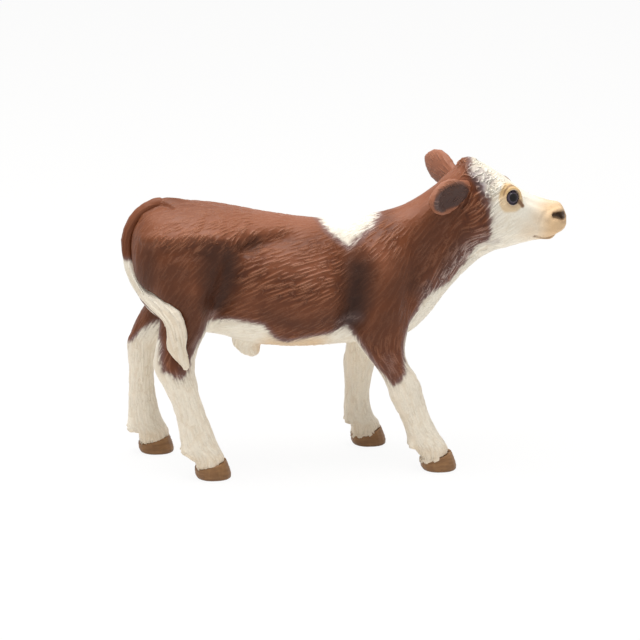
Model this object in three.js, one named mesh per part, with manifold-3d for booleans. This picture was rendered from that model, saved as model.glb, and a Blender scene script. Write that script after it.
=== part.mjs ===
// Toy farm animal: a young calf, hand painted over solid moulded vinyl. The pieces are moulded apart, plug into
// each other and are bonded, so nothing on the finished figure moves.
// Millimetres, +Z up, the head towards +X, the calf's right side towards -Y. The origin lies on the ground in the
// middle of the figure.

import * as THREE from 'three';
import { mergeVertices } from 'three/addons/utils/BufferGeometryUtils.js';
import Module from 'manifold-3d';

const wasm = await Module();
wasm.setup();

// Trunk
const trunkLength = 64; // buttocks to the front of the brisket
const withersHeight = 54; // ground to the top of the shoulders
const barrelWidth = 25; // across the ribs, the widest place of the trunk
const sheathLength = 6;
const sheathWidth = 3.4;
const sheathDrop = 3.2; // how far the sheath hangs below the belly

// Head
const headLength = 22; // neck joint to the tip of the nose
const headDepth = 19; // poll to the underside of the jaw
const headWidth = 15; // across the brows
const eyeDiameter = 3.6;
const eyeProud = 0.7; // how far an eye stands out of the brow
const nostrilLength = 2.2;
const nostrilHeight = 1.5;
const nostrilDepth = 1.3;
const mouthLength = 6;
const mouthWidth = 0.5;
const mouthDepth = 1;

// Ears
const earLength = 12;
const earWidth = 7.8;
const earThickness = 3;
const earCupDepth = 1.6;
const earRim = 0.9; // left around the hollow of the ear
const earHollowLength = 9.4;

// Tail
const tailWidth = 2.9; // across the root, where it lies in the croup
const tailThickness = 3;
const switchWidth = 4.6; // the tuft of long hair at its end
const switchThickness = 2.6;

// Legs
const cannonWidth = 5.2; // across the shank, seen from the front
const stanceWidth = 20; // from the middle of a right hoof to the middle of a left one
const dewclawDiameter = 2.2;
const hoofLength = 7.6;
const hoofWidth = 7.4;
const hoofHeight = 4; // at the toe
const heelHeight = 2.1; // at the back of the hoof
const cleftWidth = 0.7; // the gap between the two claws

// Joints between the mouldings
const fitGap = 0.3; // left between every piece and its neighbour
const neckPlugDiameter = 6;
const neckPlugLength = 6;
const legPlugDiameter = 2.6;
const legPlugLength = 3.6;
const earPlugDiameter = 2;
const earPlugLength = 2.4;

// How finely the pieces are faceted
const torsoFacets = { steps: 56, sides: 40 };
const headFacets = { steps: 22, sides: 28 };
const legFacets = { steps: 22, sides: 16 };
const tailFacets = { steps: 28, sides: 10 };
const earFacets = { steps: 8, sides: 16 };
const hoofFacets = { steps: 6, sides: 18 };
const ballSides = 12;
const smallBallSides = 8;

const overrun = 40; // how far a cutting block reaches past what it cuts
const up = new THREE.Vector3(0, 0, 1);

// Solids and geometries

function solidOf(geometry) {
  const bare = geometry.index ? geometry.toNonIndexed() : geometry;
  const positions = new THREE.BufferGeometry().setAttribute('position', bare.getAttribute('position'));
  const merged = mergeVertices(positions, fitGap / 100);
  const vertProperties = new Float32Array(merged.attributes.position.array);
  const triVerts = new Uint32Array(merged.index.array);
  return new wasm.Manifold(new wasm.Mesh({ numProp: 3, vertProperties, triVerts }));
}

function geometryOf(solid) {
  const mesh = solid.getMesh();
  const geometry = new THREE.BufferGeometry();
  geometry.setAttribute('position', new THREE.BufferAttribute(new Float32Array(mesh.vertProperties), 3));
  geometry.setIndex(new THREE.BufferAttribute(new Uint32Array(mesh.triVerts), 1));
  geometry.computeVertexNormals();
  return geometry;
}

// Rings of points in order, joined into one closed skin whose ends are flat fans
function skinOf(rings) {
  const sides = rings[0].length;
  const points = rings.flat();
  const faces = [];
  for (let r = 0; r + 1 < rings.length; r++) {
    for (let s = 0; s < sides; s++) {
      const [a, b] = [r * sides + s, r * sides + ((s + 1) % sides)];
      faces.push(a, b, b + sides, a, b + sides, a + sides);
    }
  }
  for (const end of [0, rings.length - 1]) {
    const middle = new THREE.Vector3();
    rings[end].forEach((p) => middle.add(p));
    points.push(middle.divideScalar(sides));
    for (let s = 0; s < sides; s++) {
      const [a, b] = [end * sides + s, end * sides + ((s + 1) % sides)];
      faces.push(points.length - 1, ...(end === 0 ? [b, a] : [a, b]));
    }
  }
  let volume = 0;
  for (let f = 0; f < faces.length; f += 3) {
    const [a, b, c] = [points[faces[f]], points[faces[f + 1]], points[faces[f + 2]]];
    volume += a.dot(b.clone().cross(c));
  }
  if (volume < 0) faces.reverse(); // so that the faces point outwards
  const geometry = new THREE.BufferGeometry();
  geometry.setAttribute('position', new THREE.Float32BufferAttribute(points.flatMap((p) => p.toArray()), 3));
  geometry.setIndex(faces);
  return geometry;
}

// A section spans two outline points, high and low. Its form is the half width across them, the level of the
// greatest width, from -1 at low to 1 at high, and the squareness, where 0 is an ellipse.
const station = (high, low, halfWidth, level = 0, square = 0) => ({
  high,
  low,
  form: new THREE.Vector3(halfWidth, level, square),
});

// A body lofted smoothly through stations. grow makes it larger all round, for cutting a seat with its gap.
function loft(stations, { steps, sides }, grow = 0) {
  const curve = (key) => new THREE.CatmullRomCurve3(stations.map((s) => s[key]), false, 'catmullrom');
  const [high, low, form] = [curve('high'), curve('low'), curve('form')];
  const rings = [];
  for (let i = 0; i <= steps; i++) {
    const t = i / steps;
    const [h, l, f] = [high.getPoint(t), low.getPoint(t), form.getPoint(t)];
    const middle = h.clone().add(l).divideScalar(2);
    const span = h.clone().sub(l).divideScalar(2);
    const along = high.getTangent(t).add(low.getTangent(t));
    const across = span.clone().cross(along).normalize();
    span.setLength(span.length() + grow);
    const power = 1 / (1 + f.z);
    const ring = [];
    for (let s = 0; s < sides; s++) {
      const angle = (2 * Math.PI * s) / sides;
      const rise = Math.sign(Math.cos(angle)) * Math.abs(Math.cos(angle)) ** power;
      const reach = Math.sign(Math.sin(angle)) * Math.abs(Math.sin(angle)) ** power;
      const point = middle.clone().addScaledVector(span, rise + f.y * (1 - rise * rise));
      ring.push(point.addScaledVector(across, (f.x + grow) * reach));
    }
    rings.push(ring);
  }
  return solidOf(skinOf(rings));
}

function ball(radii, centre, sides = ballSides) {
  const geometry = new THREE.SphereGeometry(1, sides, sides);
  return solidOf(geometry.scale(radii.x, radii.y, radii.z).translate(centre.x, centre.y, centre.z));
}

function roundPlug(from, to, diameter) {
  const along = to.clone().sub(from);
  const geometry = new THREE.CylinderGeometry(diameter / 2, diameter / 2, along.length(), ballSides);
  const turn = new THREE.Quaternion().setFromUnitVectors(new THREE.Vector3(0, 1, 0), along.normalize());
  const middle = from.clone().add(to).divideScalar(2);
  return solidOf(geometry.applyQuaternion(turn).translate(middle.x, middle.y, middle.z));
}

// Everything below a height
function blockBelow(height) {
  const geometry = new THREE.BoxGeometry(2 * trunkLength + overrun, barrelWidth + overrun, overrun);
  return solidOf(geometry.translate(0, 0, height - overrun / 2));
}

// Torso and neck, from the buttocks forwards. Each row is the x and z of the back, the x and z of the belly, the
// half width, the level of the greatest width and the squareness. The x values are shares of trunkLength, the z
// values of withersHeight and the half widths of barrelWidth.
const torsoShares = [
  [-0.716, 0.95, -0.713, 0.81, 0.12, 0.0, 0.0],
  [-0.704, 1.0, -0.7, 0.73, 0.24, 0.1, 0.1],
  [-0.665, 1.05, -0.665, 0.66, 0.345, 0.15, 0.15],
  [-0.6, 1.074, -0.6, 0.6, 0.42, 0.2, 0.2],
  [-0.51, 1.074, -0.51, 0.565, 0.455, 0.2, 0.2],
  [-0.42, 1.064, -0.42, 0.545, 0.45, 0.15, 0.15],
  [-0.33, 1.044, -0.33, 0.51, 0.44, 0.05, 0.1],
  [-0.23, 1.02, -0.23, 0.492, 0.46, 0.0, 0.08],
  [-0.12, 1.0, -0.12, 0.49, 0.5, -0.1, 0.05],
  [-0.02, 0.993, -0.02, 0.495, 0.49, -0.1, 0.03],
  [0.07, 1.003, 0.09, 0.5, 0.45, -0.05, 0.0],
  [0.15, 1.022, 0.198, 0.518, 0.4, -0.05, 0.0],
  [0.21, 1.046, 0.271, 0.58, 0.335, -0.05, 0.0],
  [0.265, 1.083, 0.341, 0.685, 0.285, 0.0, 0.0],
  [0.315, 1.125, 0.403, 0.765, 0.265, 0.05, 0.0],
  [0.34, 1.155, 0.46, 0.825, 0.27, 0.1, 0.05],
];

const trunkPoint = (xShare, zShare, y = 0) => new THREE.Vector3(xShare * trunkLength, y, zShare * withersHeight);

const torsoStations = torsoShares.map(([highX, highZ, lowX, lowZ, half, level, square]) =>
  station(trunkPoint(highX, highZ), trunkPoint(lowX, lowZ), half * barrelWidth, level, square),
);

// The muscles, modelled into both sides of the trunk. Each row is a path in the side view, how far it reaches to
// either side, and its height, below zero for a hollow. The points are shares of trunkLength and withersHeight,
// the reach and the height of barrelWidth.
const muscleShares = [
  [[[-0.676, 0.967], [-0.545, 0.98], [-0.434, 0.978]], 0.1, 0.03], // upper edge of the rump
  [[[-0.669, 0.92], [-0.536, 0.933], [-0.473, 0.93]], 0.1, -0.03],
  [[[-0.434, 0.974], [-0.403, 0.956]], 0.12, 0.034], // hip bone
  [[[-0.33, 0.926], [-0.29, 0.937], [-0.2, 0.95]], 0.14, -0.046], // hollow under the loin
  [[[-0.366, 0.985], [-0.122, 0.995]], 0.1, 0.02],
  [[[-0.4, 0.852], [-0.409, 0.787], [-0.428, 0.704], [-0.459, 0.639]], 0.168, -0.062], // flank
  [[[-0.337, 0.87], [-0.322, 0.796], [-0.328, 0.713]], 0.12, 0.026],
  [[[-0.567, 0.833], [-0.575, 0.741]], 0.34, 0.04], // thigh
  [[[-0.484, 0.796], [-0.5, 0.6]], 0.1, 0.018],
  [[[-0.184, 0.833], [-0.137, 0.759]], 0.36, 0.032], // ribs
  [[[-0.009, 0.926], [-0.001, 0.759], [-0.009, 0.62]], 0.176, -0.066], // behind the shoulder
  [[[0.097, 0.917], [0.122, 0.796], [0.125, 0.685]], 0.216, 0.04], // shoulder
  [[[0.059, 0.63], [0.072, 0.574]], 0.12, 0.02],
  [[[0.222, 0.944], [0.225, 0.833], [0.206, 0.722], [0.184, 0.648]], 0.104, -0.03],
  [[[0.259, 0.759], [0.253, 0.694]], 0.12, 0.024], // point of the breast
  [[[0.322, 1.015], [0.284, 0.959], [0.244, 0.881]], 0.144, -0.036], // neck
  [[[0.3, 1.09], [0.191, 1.015]], 0.112, 0.02],
];
const spineShares = [0.05, 0.2]; // out from the middle, of barrelWidth: where the muscles start and are whole

const muscles = muscleShares.map(([places, reach, height]) => ({
  bones: places.slice(1).map((place, p) => new THREE.Line3(trunkPoint(...places[p]), trunkPoint(...place))),
  reach: reach * barrelWidth,
  height: height * barrelWidth,
}));

function addMuscles(solid) {
  const [start, whole] = spineShares.map((share) => share * barrelWidth);
  return solid.warp((vertex) => {
    const [x, y, z] = vertex;
    const place = new THREE.Vector3(x, 0, z);
    let swell = 0;
    for (const { bones, reach, height } of muscles) {
      const gaps = bones.map((bone) => bone.closestPointToPoint(place, true, new THREE.Vector3()).distanceTo(place));
      const near = Math.min(...gaps) / reach;
      if (near < 1) swell += height * (1 - near * near) ** 2;
    }
    vertex[1] += Math.sign(y) * THREE.MathUtils.smoothstep(Math.abs(y), start, whole) * swell;
  });
}

// The sheath hangs under the back of the belly: its place is shares of trunkLength and withersHeight
const sheathShares = [-0.335, 0.512];
const sheathPlace = trunkPoint(...sheathShares);

// The neck joint: the middle of the last torso section, and the way the neck runs there
const neckEnd = torsoStations[torsoStations.length - 1];
const neckMiddle = neckEnd.high.clone().add(neckEnd.low).divideScalar(2);
const neckSpan = neckEnd.high.clone().sub(neckEnd.low).normalize();
const neckForward = new THREE.Vector3(neckSpan.z, 0, -neckSpan.x);

// Head, from the neck joint to the nose, in the same form as the torso's rows. The x values are shares of
// headLength and the z values of headDepth, both from the middle of the neck joint, and the half widths are shares
// of headWidth.
const headShares = [
  [-0.08, 0.55, 0.218, -0.44, 0.455, 0.08, 0.08],
  [0.034, 0.675, 0.279, -0.405, 0.48, 0.05, 0.1],
  [0.144, 0.635, 0.334, -0.385, 0.495, 0.12, 0.12],
  [0.294, 0.54, 0.404, -0.365, 0.5, 0.2, 0.15],
  [0.434, 0.425, 0.484, -0.34, 0.485, 0.25, 0.15],
  [0.564, 0.31, 0.574, -0.325, 0.42, 0.15, 0.12],
  [0.694, 0.226, 0.699, -0.315, 0.355, 0, 0.12],
  [0.834, 0.171, 0.829, -0.309, 0.335, -0.1, 0.18],
  [0.944, 0.11, 0.924, -0.28, 0.325, 0, 0.2],
  [1.014, 0.025, 0.999, -0.209, 0.25, 0.1, 0.15],
  [1.029, -0.035, 1.024, -0.144, 0.1, 0, 0],
];

// The eye, nostril, mouth and ear of the head: x share of headLength, z share of headDepth, y share of headWidth
const eyeShares = [0.429, 0.27, 0.445];
const nostrilShares = [0.949, 0.035, 0.27];
const mouthShares = [0.844, -0.22, 0.34];
const earShares = [-0.016, 0.37, 0.36];

const headPoint = ([xShare, zShare, yShare = 0], side = 1) =>
  neckMiddle.clone().add(new THREE.Vector3(xShare * headLength, side * yShare * headWidth, zShare * headDepth));

const headStations = [
  station(
    neckEnd.high.clone().addScaledVector(neckForward, fitGap),
    neckEnd.low.clone().addScaledVector(neckForward, fitGap),
    ...neckEnd.form.toArray(),
  ),
  ...headShares.map(([highX, highZ, lowX, lowZ, half, level, square]) =>
    station(headPoint([highX, highZ]), headPoint([lowX, lowZ]), half * headWidth, level, square),
  ),
];

// Legs. Each row is the x of the front and of the back, the height, the half width and the place out from the
// middle, from 0 at the hip or shoulder to 1 at the hoof. The x values are shares of trunkLength from the leg's
// own place on the trunk, the heights run from 0 at the coronet to 1 at the withers, and the half widths are
// shares of cannonWidth.
const rightForeShares = [
  [0.09, -0.09, 0.84, 0.35, 0.1],
  [0.11, -0.1, 0.74, 0.75, 0.18],
  [0.1, -0.11, 0.62, 0.95, 0.35],
  [0.078, -0.112, 0.52, 0.88, 0.5],
  [0.068, -0.055, 0.414, 0.72, 0.65],
  [0.1, -0.012, 0.34, 0.64, 0.75],
  [0.12, 0.007, 0.29, 0.64, 0.82],
  [0.132, 0.02, 0.232, 0.56, 0.86],
  [0.147, 0.047, 0.166, 0.51, 0.9],
  [0.174, 0.072, 0.088, 0.54, 0.94],
  [0.202, 0.083, 0.036, 0.63, 0.98],
  [0.217, 0.13, 0.0, 0.66, 1],
];
const leftForeShares = [
  [0.09, -0.09, 0.84, 0.35, 0.1],
  [0.11, -0.1, 0.74, 0.75, 0.18],
  [0.09, -0.11, 0.62, 0.95, 0.35],
  [0.055, -0.105, 0.52, 0.86, 0.5],
  [0.026, -0.092, 0.41, 0.72, 0.65],
  [0.01, -0.1, 0.33, 0.64, 0.75],
  [0.002, -0.101, 0.28, 0.62, 0.82],
  [-0.01, -0.096, 0.19, 0.53, 0.88],
  [-0.012, -0.097, 0.12, 0.52, 0.92],
  [-0.002, -0.1, 0.062, 0.58, 0.96],
  [0.016, -0.094, 0.026, 0.63, 0.98],
  [0.03, -0.073, 0.0, 0.66, 1],
];
const rightHindShares = [
  [0.04, -0.09, 0.92, 0.35, 0.1],
  [0.1, -0.135, 0.82, 0.85, 0.18],
  [0.115, -0.125, 0.72, 1.02, 0.35],
  [0.082, -0.1, 0.61, 0.88, 0.5],
  [0.042, -0.108, 0.525, 0.7, 0.65],
  [0.022, -0.118, 0.47, 0.64, 0.74],
  [0.013, -0.124, 0.408, 0.62, 0.8],
  [0.016, -0.104, 0.348, 0.58, 0.84],
  [0.032, -0.066, 0.25, 0.52, 0.9],
  [0.064, -0.043, 0.135, 0.52, 0.94],
  [0.092, -0.033, 0.04, 0.63, 0.98],
  [0.111, 0.01, 0.0, 0.66, 1],
];
const leftHindShares = [
  [0.04, -0.09, 0.92, 0.35, 0.1],
  [0.095, -0.13, 0.82, 0.85, 0.18],
  [0.1, -0.12, 0.72, 1.02, 0.35],
  [0.05, -0.125, 0.61, 0.88, 0.5],
  [-0.017, -0.157, 0.54, 0.72, 0.65],
  [-0.06, -0.179, 0.474, 0.64, 0.74],
  [-0.087, -0.195, 0.418, 0.62, 0.8],
  [-0.107, -0.19, 0.3, 0.56, 0.86],
  [-0.101, -0.193, 0.18, 0.52, 0.91],
  [-0.086, -0.196, 0.086, 0.55, 0.95],
  [-0.067, -0.196, 0.03, 0.63, 0.98],
  [-0.054, -0.165, 0.0, 0.66, 1],
];

// The place of each pair of legs on the trunk, the height where the lower leg plugs in, and how far out the top
// of a leg lies, of half the stance
const foreShare = 0.12;
const hindShare = -0.53;
const forePartingShare = 0.36;
const hindPartingShare = 0.45;
const hipSpreadShare = 0.5;

const legHeight = (share) => hoofHeight + fitGap + share * (withersHeight - hoofHeight);
const middleOf = (s) => s.high.clone().add(s.low).divideScalar(2);

function legStations(rows, placeShare, side) {
  const slope = (hoofHeight - heelHeight) / hoofLength;
  const stations = rows.map(([frontShare, backShare, heightShare, half, out]) => {
    const y = (side * stanceWidth * (hipSpreadShare + (1 - hipSpreadShare) * out)) / 2;
    const front = new THREE.Vector3((placeShare + frontShare) * trunkLength, y, legHeight(heightShare));
    const back = new THREE.Vector3((placeShare + backShare) * trunkLength, y, legHeight(heightShare));
    return station(front, back, half * cannonWidth);
  });
  const coronet = stations[stations.length - 1];
  coronet.low.z -= slope * (coronet.high.x - coronet.low.x);
  return stations;
}

// The middle of a leg at a height
function middleAt(stations, height) {
  const index = stations.findIndex((s) => s.high.z < height);
  const [upper, lower] = [middleOf(stations[index - 1]), middleOf(stations[index])];
  return upper.clone().lerp(lower, (upper.z - height) / (upper.z - lower.z));
}

// A leg parted level: the upper part belongs to the trunk, and the lower leg plugs into it
function makeLeg(rows, placeShare, side, partingShare) {
  const stations = legStations(rows, placeShare, side);
  const parting = legHeight(partingShare);
  const whole = loft(stations, legFacets);
  const seat = middleAt(stations, parting);
  const plugFoot = seat.clone().addScaledVector(up, -legPlugLength / 2);
  const plugTop = seat.clone().addScaledVector(up, legPlugLength);
  const socketTop = plugTop.clone().addScaledVector(up, fitGap);
  const radius = dewclawDiameter / 2;
  const fetlock = stations[stations.length - 2];
  let lower = whole.intersect(blockBelow(parting)).add(roundPlug(plugFoot, plugTop, legPlugDiameter));
  for (const way of [-1, 1]) {
    const place = fetlock.low.clone().add(new THREE.Vector3(radius / 2, (way * cannonWidth) / 4, 0));
    lower = lower.add(ball(new THREE.Vector3(radius, radius, radius), place, smallBallSides));
  }
  return {
    upper: whole.subtract(blockBelow(parting + fitGap)),
    socket: roundPlug(plugFoot, socketTop, legPlugDiameter + 2 * fitGap),
    lower,
    coronet: stations[stations.length - 1],
  };
}

// A hoof of two claws on a flat sole, under the slope of the coronet. Each row is the height, the length and the
// width, as shares of the hoof's own.
const hoofShares = [
  [0.0, 0.86, 0.82],
  [0.12, 0.98, 0.95],
  [0.45, 1.0, 1.0],
  [1.0, 0.9, 0.93],
];
const hoofSquareness = 0.15;
const toeLeanShare = 0.11; // how far the toe runs forwards to the ground, of the hoof's length

function makeHoof({ high: front, low: back }) {
  const middle = front.clone().add(back).divideScalar(2);
  const stations = hoofShares.map(([heightShare, lengthShare, widthShare]) => {
    const half = (hoofLength * lengthShare) / 2;
    const x = middle.x + toeLeanShare * hoofLength * (1 - heightShare);
    return station(
      new THREE.Vector3(x + half, middle.y, heightShare * (front.z - fitGap)),
      new THREE.Vector3(x - half, middle.y, heightShare * (back.z - fitGap)),
      (hoofWidth * widthShare) / 2,
      0,
      hoofSquareness,
    );
  });
  const cleft = new THREE.BoxGeometry(hoofLength / 2, cleftWidth, 3 * hoofHeight);
  cleft.translate(middle.x + hoofLength / 2, middle.y, hoofHeight);
  return loft(stations, hoofFacets).subtract(solidOf(cleft));
}

// Tail: it leaves the croup, curves down over the buttocks and swings to the right, where its switch lies against
// the thigh. Each row is the x, y and z of its middle, the way it faces, its half width and its half thickness, as
// shares of trunkLength, barrelWidth and withersHeight, of 1, and of tailWidth or switchWidth and their thickness.
const tailShares = [
  [-0.5, 0.0, 1.03, [0, 0, 1], 0.42, 0.4],
  [-0.545, 0.0, 1.058, [0, 0, 1], 0.5, 0.5],
  [-0.6, 0.0, 1.07, [-0.2, 0, 1], 0.5, 0.5],
  [-0.66, 0.0, 1.054, [-0.6, 0, 0.8], 0.5, 0.5],
  [-0.702, 0.0, 1.008, [-0.9, 0, 0.4], 0.5, 0.48],
  [-0.7265, 0.0, 0.93, [-1, 0, 0], 0.45, 0.45],
  [-0.72, -0.02, 0.845, [-1, 0, 0], 0.4, 0.4],
  [-0.7, -0.09, 0.782, [-1, -0.3, 0], 0.42, 0.4],
  [-0.672, -0.2, 0.737, [-0.8, -0.6, 0], 0.46, 0.4],
  [-0.636, -0.345, 0.708, [-0.6, -0.9, 0], 0.35, 0.46],
  [-0.598, -0.45, 0.674, [-0.3, -1, 0], 0.43, 0.48],
  [-0.579, -0.492, 0.618, [-0.2, -1, 0], 0.5, 0.5],
  [-0.573, -0.505, 0.552, [-0.2, -1, 0], 0.44, 0.46],
  [-0.56, -0.5, 0.5, [-0.2, -1, 0], 0.3, 0.38],
  [-0.553, -0.49, 0.462, [-0.2, -1, 0], 0.14, 0.26],
];

const switchRow = 9; // the first row of the switch

function makeTail(grow = 0) {
  const places = tailShares.map(([x, y, z]) => trunkPoint(x, z, y * barrelWidth));
  const path = new THREE.CatmullRomCurve3(places);
  const stations = tailShares.map(([, , , facing, wide, thick], row) => {
    const t = row / (tailShares.length - 1);
    const along = path.getTangent(t);
    const outward = new THREE.Vector3(...facing).addScaledVector(along, -along.dot(new THREE.Vector3(...facing)));
    const [width, thickness] = row < switchRow ? [tailWidth, tailThickness] : [switchWidth, switchThickness];
    outward.setLength(thick * thickness);
    const high = places[row].clone().add(outward);
    return station(high, places[row].clone().sub(outward), wide * width);
  });
  return loft(stations, tailFacets, grow);
}

// Ears: a leaf that is hollow on one side. Built along +X with the hollow towards +Z. Each row is the place along
// the ear and the half width, as shares of earLength and earWidth.
const earLeafShares = [
  [-0.12, 0.14],
  [0.06, 0.22],
  [0.25, 0.4],
  [0.5, 0.5],
  [0.74, 0.46],
  [0.92, 0.27],
  [1.0, 0.07],
];

const earHollowShare = 0.54; // the middle of the hollow, along the ear
const earPlugRootShare = 0.2; // how far the plug runs on inside the ear

function earLeaf() {
  const stations = earLeafShares.map(([along, half]) => {
    const thick = (earThickness * Math.min(1, half + 0.5)) / 2;
    const x = along * earLength;
    return station(new THREE.Vector3(x, 0, thick), new THREE.Vector3(x, 0, -thick), half * earWidth);
  });
  const hollow = new THREE.Vector3(earHollowLength / 2, earWidth / 2 - earRim, earCupDepth);
  const leaf = loft(stations, earFacets);
  return leaf.subtract(ball(hollow, new THREE.Vector3(earHollowShare * earLength, 0, earThickness / 2)));
}

// Which way each ear points, and which way its hollow faces
const earWays = {
  right: { side: -1, along: [-0.66, -0.74, -0.05], hollow: [0.78, -0.6, -0.2] },
  left: { side: 1, along: [-0.4, 0.87, 0.27], hollow: [0.91, 0.4, -0.07] },
};

function makeEar({ side, along, hollow }) {
  const root = headPoint(earShares, side);
  const lengthways = new THREE.Vector3(...along).normalize();
  const open = new THREE.Vector3(...hollow);
  open.addScaledVector(lengthways, -open.dot(lengthways)).normalize();
  const across = open.clone().cross(lengthways);
  const placed = new THREE.Matrix4().makeBasis(lengthways, across, open).setPosition(root);
  const leaf = solidOf(geometryOf(earLeaf()).applyMatrix4(placed));
  const plugTip = root.clone().addScaledVector(lengthways, -earPlugLength);
  const socketEnd = root.clone().addScaledVector(lengthways, -earPlugLength - fitGap);
  const inner = root.clone().addScaledVector(lengthways, earPlugRootShare * earLength);
  return {
    leaf,
    plug: roundPlug(plugTip, inner, earPlugDiameter),
    socket: roundPlug(socketEnd, inner, earPlugDiameter + 2 * fitGap),
  };
}

// The pieces

const paint = (colour, roughness) => new THREE.MeshStandardMaterial({ color: colour, roughness, metalness: 0 });
const brown = paint(0x7d4630, 0.6);
const cream = paint(0xe9dfc6, 0.6);
const horn = paint(0x8a6a40, 0.5);
const dark = paint(0x1b1a1c, 0.15);

const calf = new THREE.Group();
function addPiece(name, solid, material) {
  const mesh = new THREE.Mesh(geometryOf(solid), material);
  mesh.name = name;
  calf.add(mesh);
}

const legs = {
  right_foreleg: makeLeg(rightForeShares, foreShare, -1, forePartingShare),
  left_foreleg: makeLeg(leftForeShares, foreShare, 1, forePartingShare),
  right_hind_leg: makeLeg(rightHindShares, hindShare, -1, hindPartingShare),
  left_hind_leg: makeLeg(leftHindShares, hindShare, 1, hindPartingShare),
};
const hooves = {
  right_foreleg: 'right_fore_hoof',
  left_foreleg: 'left_fore_hoof',
  right_hind_leg: 'right_hind_hoof',
  left_hind_leg: 'left_hind_hoof',
};

// Trunk with its sockets, and the groove that the tail lies in
const neckPlugBack = neckMiddle.clone().addScaledVector(neckForward, -neckPlugLength);
const neckSocketBack = neckMiddle.clone().addScaledVector(neckForward, -neckPlugLength - fitGap);
const neckPlugFront = neckMiddle.clone().addScaledVector(neckForward, neckPlugLength / 2);
const tailSeat = makeTail(fitGap);
let trunk = loft(torsoStations, torsoFacets);
trunk = trunk.add(ball(new THREE.Vector3(sheathLength / 2, sheathWidth / 2, sheathDrop), sheathPlace));
for (const leg of Object.values(legs)) trunk = trunk.add(leg.upper);
trunk = addMuscles(trunk);
for (const leg of Object.values(legs)) trunk = trunk.subtract(leg.socket);
trunk = trunk.subtract(roundPlug(neckSocketBack, neckPlugFront, neckPlugDiameter + 2 * fitGap)).subtract(tailSeat);
addPiece('trunk', trunk, brown);
addPiece('tail', makeTail(), cream);

// Head with its plug, the sockets of the ears, the seats of the eyes, the nostrils and the mouth
let head = loft(headStations, headFacets).add(roundPlug(neckPlugBack, neckPlugFront, neckPlugDiameter));
const bodyRoom = loft(headStations, headFacets, fitGap).add(addMuscles(loft(torsoStations, torsoFacets, fitGap)));
const eyeRadius = eyeDiameter / 2;
for (const [name, way] of Object.entries(earWays)) {
  const ear = makeEar(way);
  head = head.subtract(ear.socket);
  addPiece(name + '_ear', ear.leaf.subtract(bodyRoom).add(ear.plug), brown);
  const eyePlace = headPoint(eyeShares, way.side).addScaledVector(new THREE.Vector3(0, way.side, 0), eyeProud - eyeRadius);
  const seatRadius = eyeRadius + fitGap;
  addPiece(name + '_eye', ball(new THREE.Vector3(eyeRadius, eyeRadius, eyeRadius), eyePlace), dark);
  head = head.subtract(ball(new THREE.Vector3(seatRadius, seatRadius, seatRadius), eyePlace));
  const nostril = headPoint(nostrilShares, way.side);
  head = head.subtract(ball(new THREE.Vector3(nostrilLength / 2, nostrilDepth, nostrilHeight / 2), nostril, smallBallSides));
  const slit = new THREE.BoxGeometry(mouthLength, 2 * mouthDepth, mouthWidth);
  const mouth = headPoint(mouthShares, way.side);
  head = head.subtract(solidOf(slit.translate(mouth.x, mouth.y, mouth.z)));
}
addPiece('head', head, cream);

for (const [name, leg] of Object.entries(legs)) {
  addPiece(name, leg.lower.subtract(tailSeat), cream);
  addPiece(hooves[name], makeHoof(leg.coronet), horn);
}

// The origin in the middle of the figure's footprint, on the ground
const reach = new THREE.Box3().setFromObject(calf);
const centre = reach.getCenter(new THREE.Vector3());
calf.position.set(-centre.x, -centre.y, -reach.min.z);

export default calf;
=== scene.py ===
import math
import bmesh
import bpy
import numpy as np
from mathutils import Matrix, Vector
from mathutils.bvhtree import BVHTree


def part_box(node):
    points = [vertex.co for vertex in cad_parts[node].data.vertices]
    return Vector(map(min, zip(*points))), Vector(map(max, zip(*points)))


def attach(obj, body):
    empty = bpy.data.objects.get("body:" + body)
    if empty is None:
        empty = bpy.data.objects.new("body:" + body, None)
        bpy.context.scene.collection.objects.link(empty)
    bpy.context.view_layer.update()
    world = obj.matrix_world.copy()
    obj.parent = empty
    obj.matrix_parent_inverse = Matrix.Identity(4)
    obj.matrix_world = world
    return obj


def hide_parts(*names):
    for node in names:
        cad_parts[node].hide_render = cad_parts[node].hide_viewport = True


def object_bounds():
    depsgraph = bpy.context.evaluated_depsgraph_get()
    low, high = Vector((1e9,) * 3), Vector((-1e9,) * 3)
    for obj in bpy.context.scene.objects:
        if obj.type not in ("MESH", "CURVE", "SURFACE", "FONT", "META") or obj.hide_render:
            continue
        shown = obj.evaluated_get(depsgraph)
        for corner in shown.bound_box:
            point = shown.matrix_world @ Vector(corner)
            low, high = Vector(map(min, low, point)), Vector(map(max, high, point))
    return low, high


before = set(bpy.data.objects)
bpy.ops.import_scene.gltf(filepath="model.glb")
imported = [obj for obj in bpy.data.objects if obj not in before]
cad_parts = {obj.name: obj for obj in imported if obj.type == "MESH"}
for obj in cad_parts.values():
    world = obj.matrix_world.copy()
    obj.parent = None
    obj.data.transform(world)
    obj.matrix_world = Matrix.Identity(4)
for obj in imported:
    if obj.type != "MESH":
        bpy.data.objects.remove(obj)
cadLow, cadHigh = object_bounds()
mm = 0.001
scene = bpy.context.scene


def boxOf(node):  # the low and the high corner of a CAD node, in millimetres
    return [np.array(corner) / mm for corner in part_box(node)]


rightEye, leftEye = (sum(boxOf(node)) / 2 for node in ("right_eye", "left_eye"))
eyeRadius = np.subtract(*boxOf("right_eye")[::-1])[0] / 2
middleY = (rightEye[1] + leftEye[1]) / 2  # the calf's own middle, a little off the middle of its box

# Mesh helpers: points are numpy rows in millimetres


def rowsOf(items, key, width, kind=float):
    flat = np.empty(len(items) * width, kind)
    items.foreach_get(key, flat)
    return flat.reshape(-1, width)


def pointsOf(mesh):
    return rowsOf(mesh.vertices, "co", 3) / mm


def normalsOf(mesh):
    return rowsOf(mesh.vertices, "normal", 3)


def edgesOf(mesh):
    return rowsOf(mesh.edges, "vertices", 2, np.int32)


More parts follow.
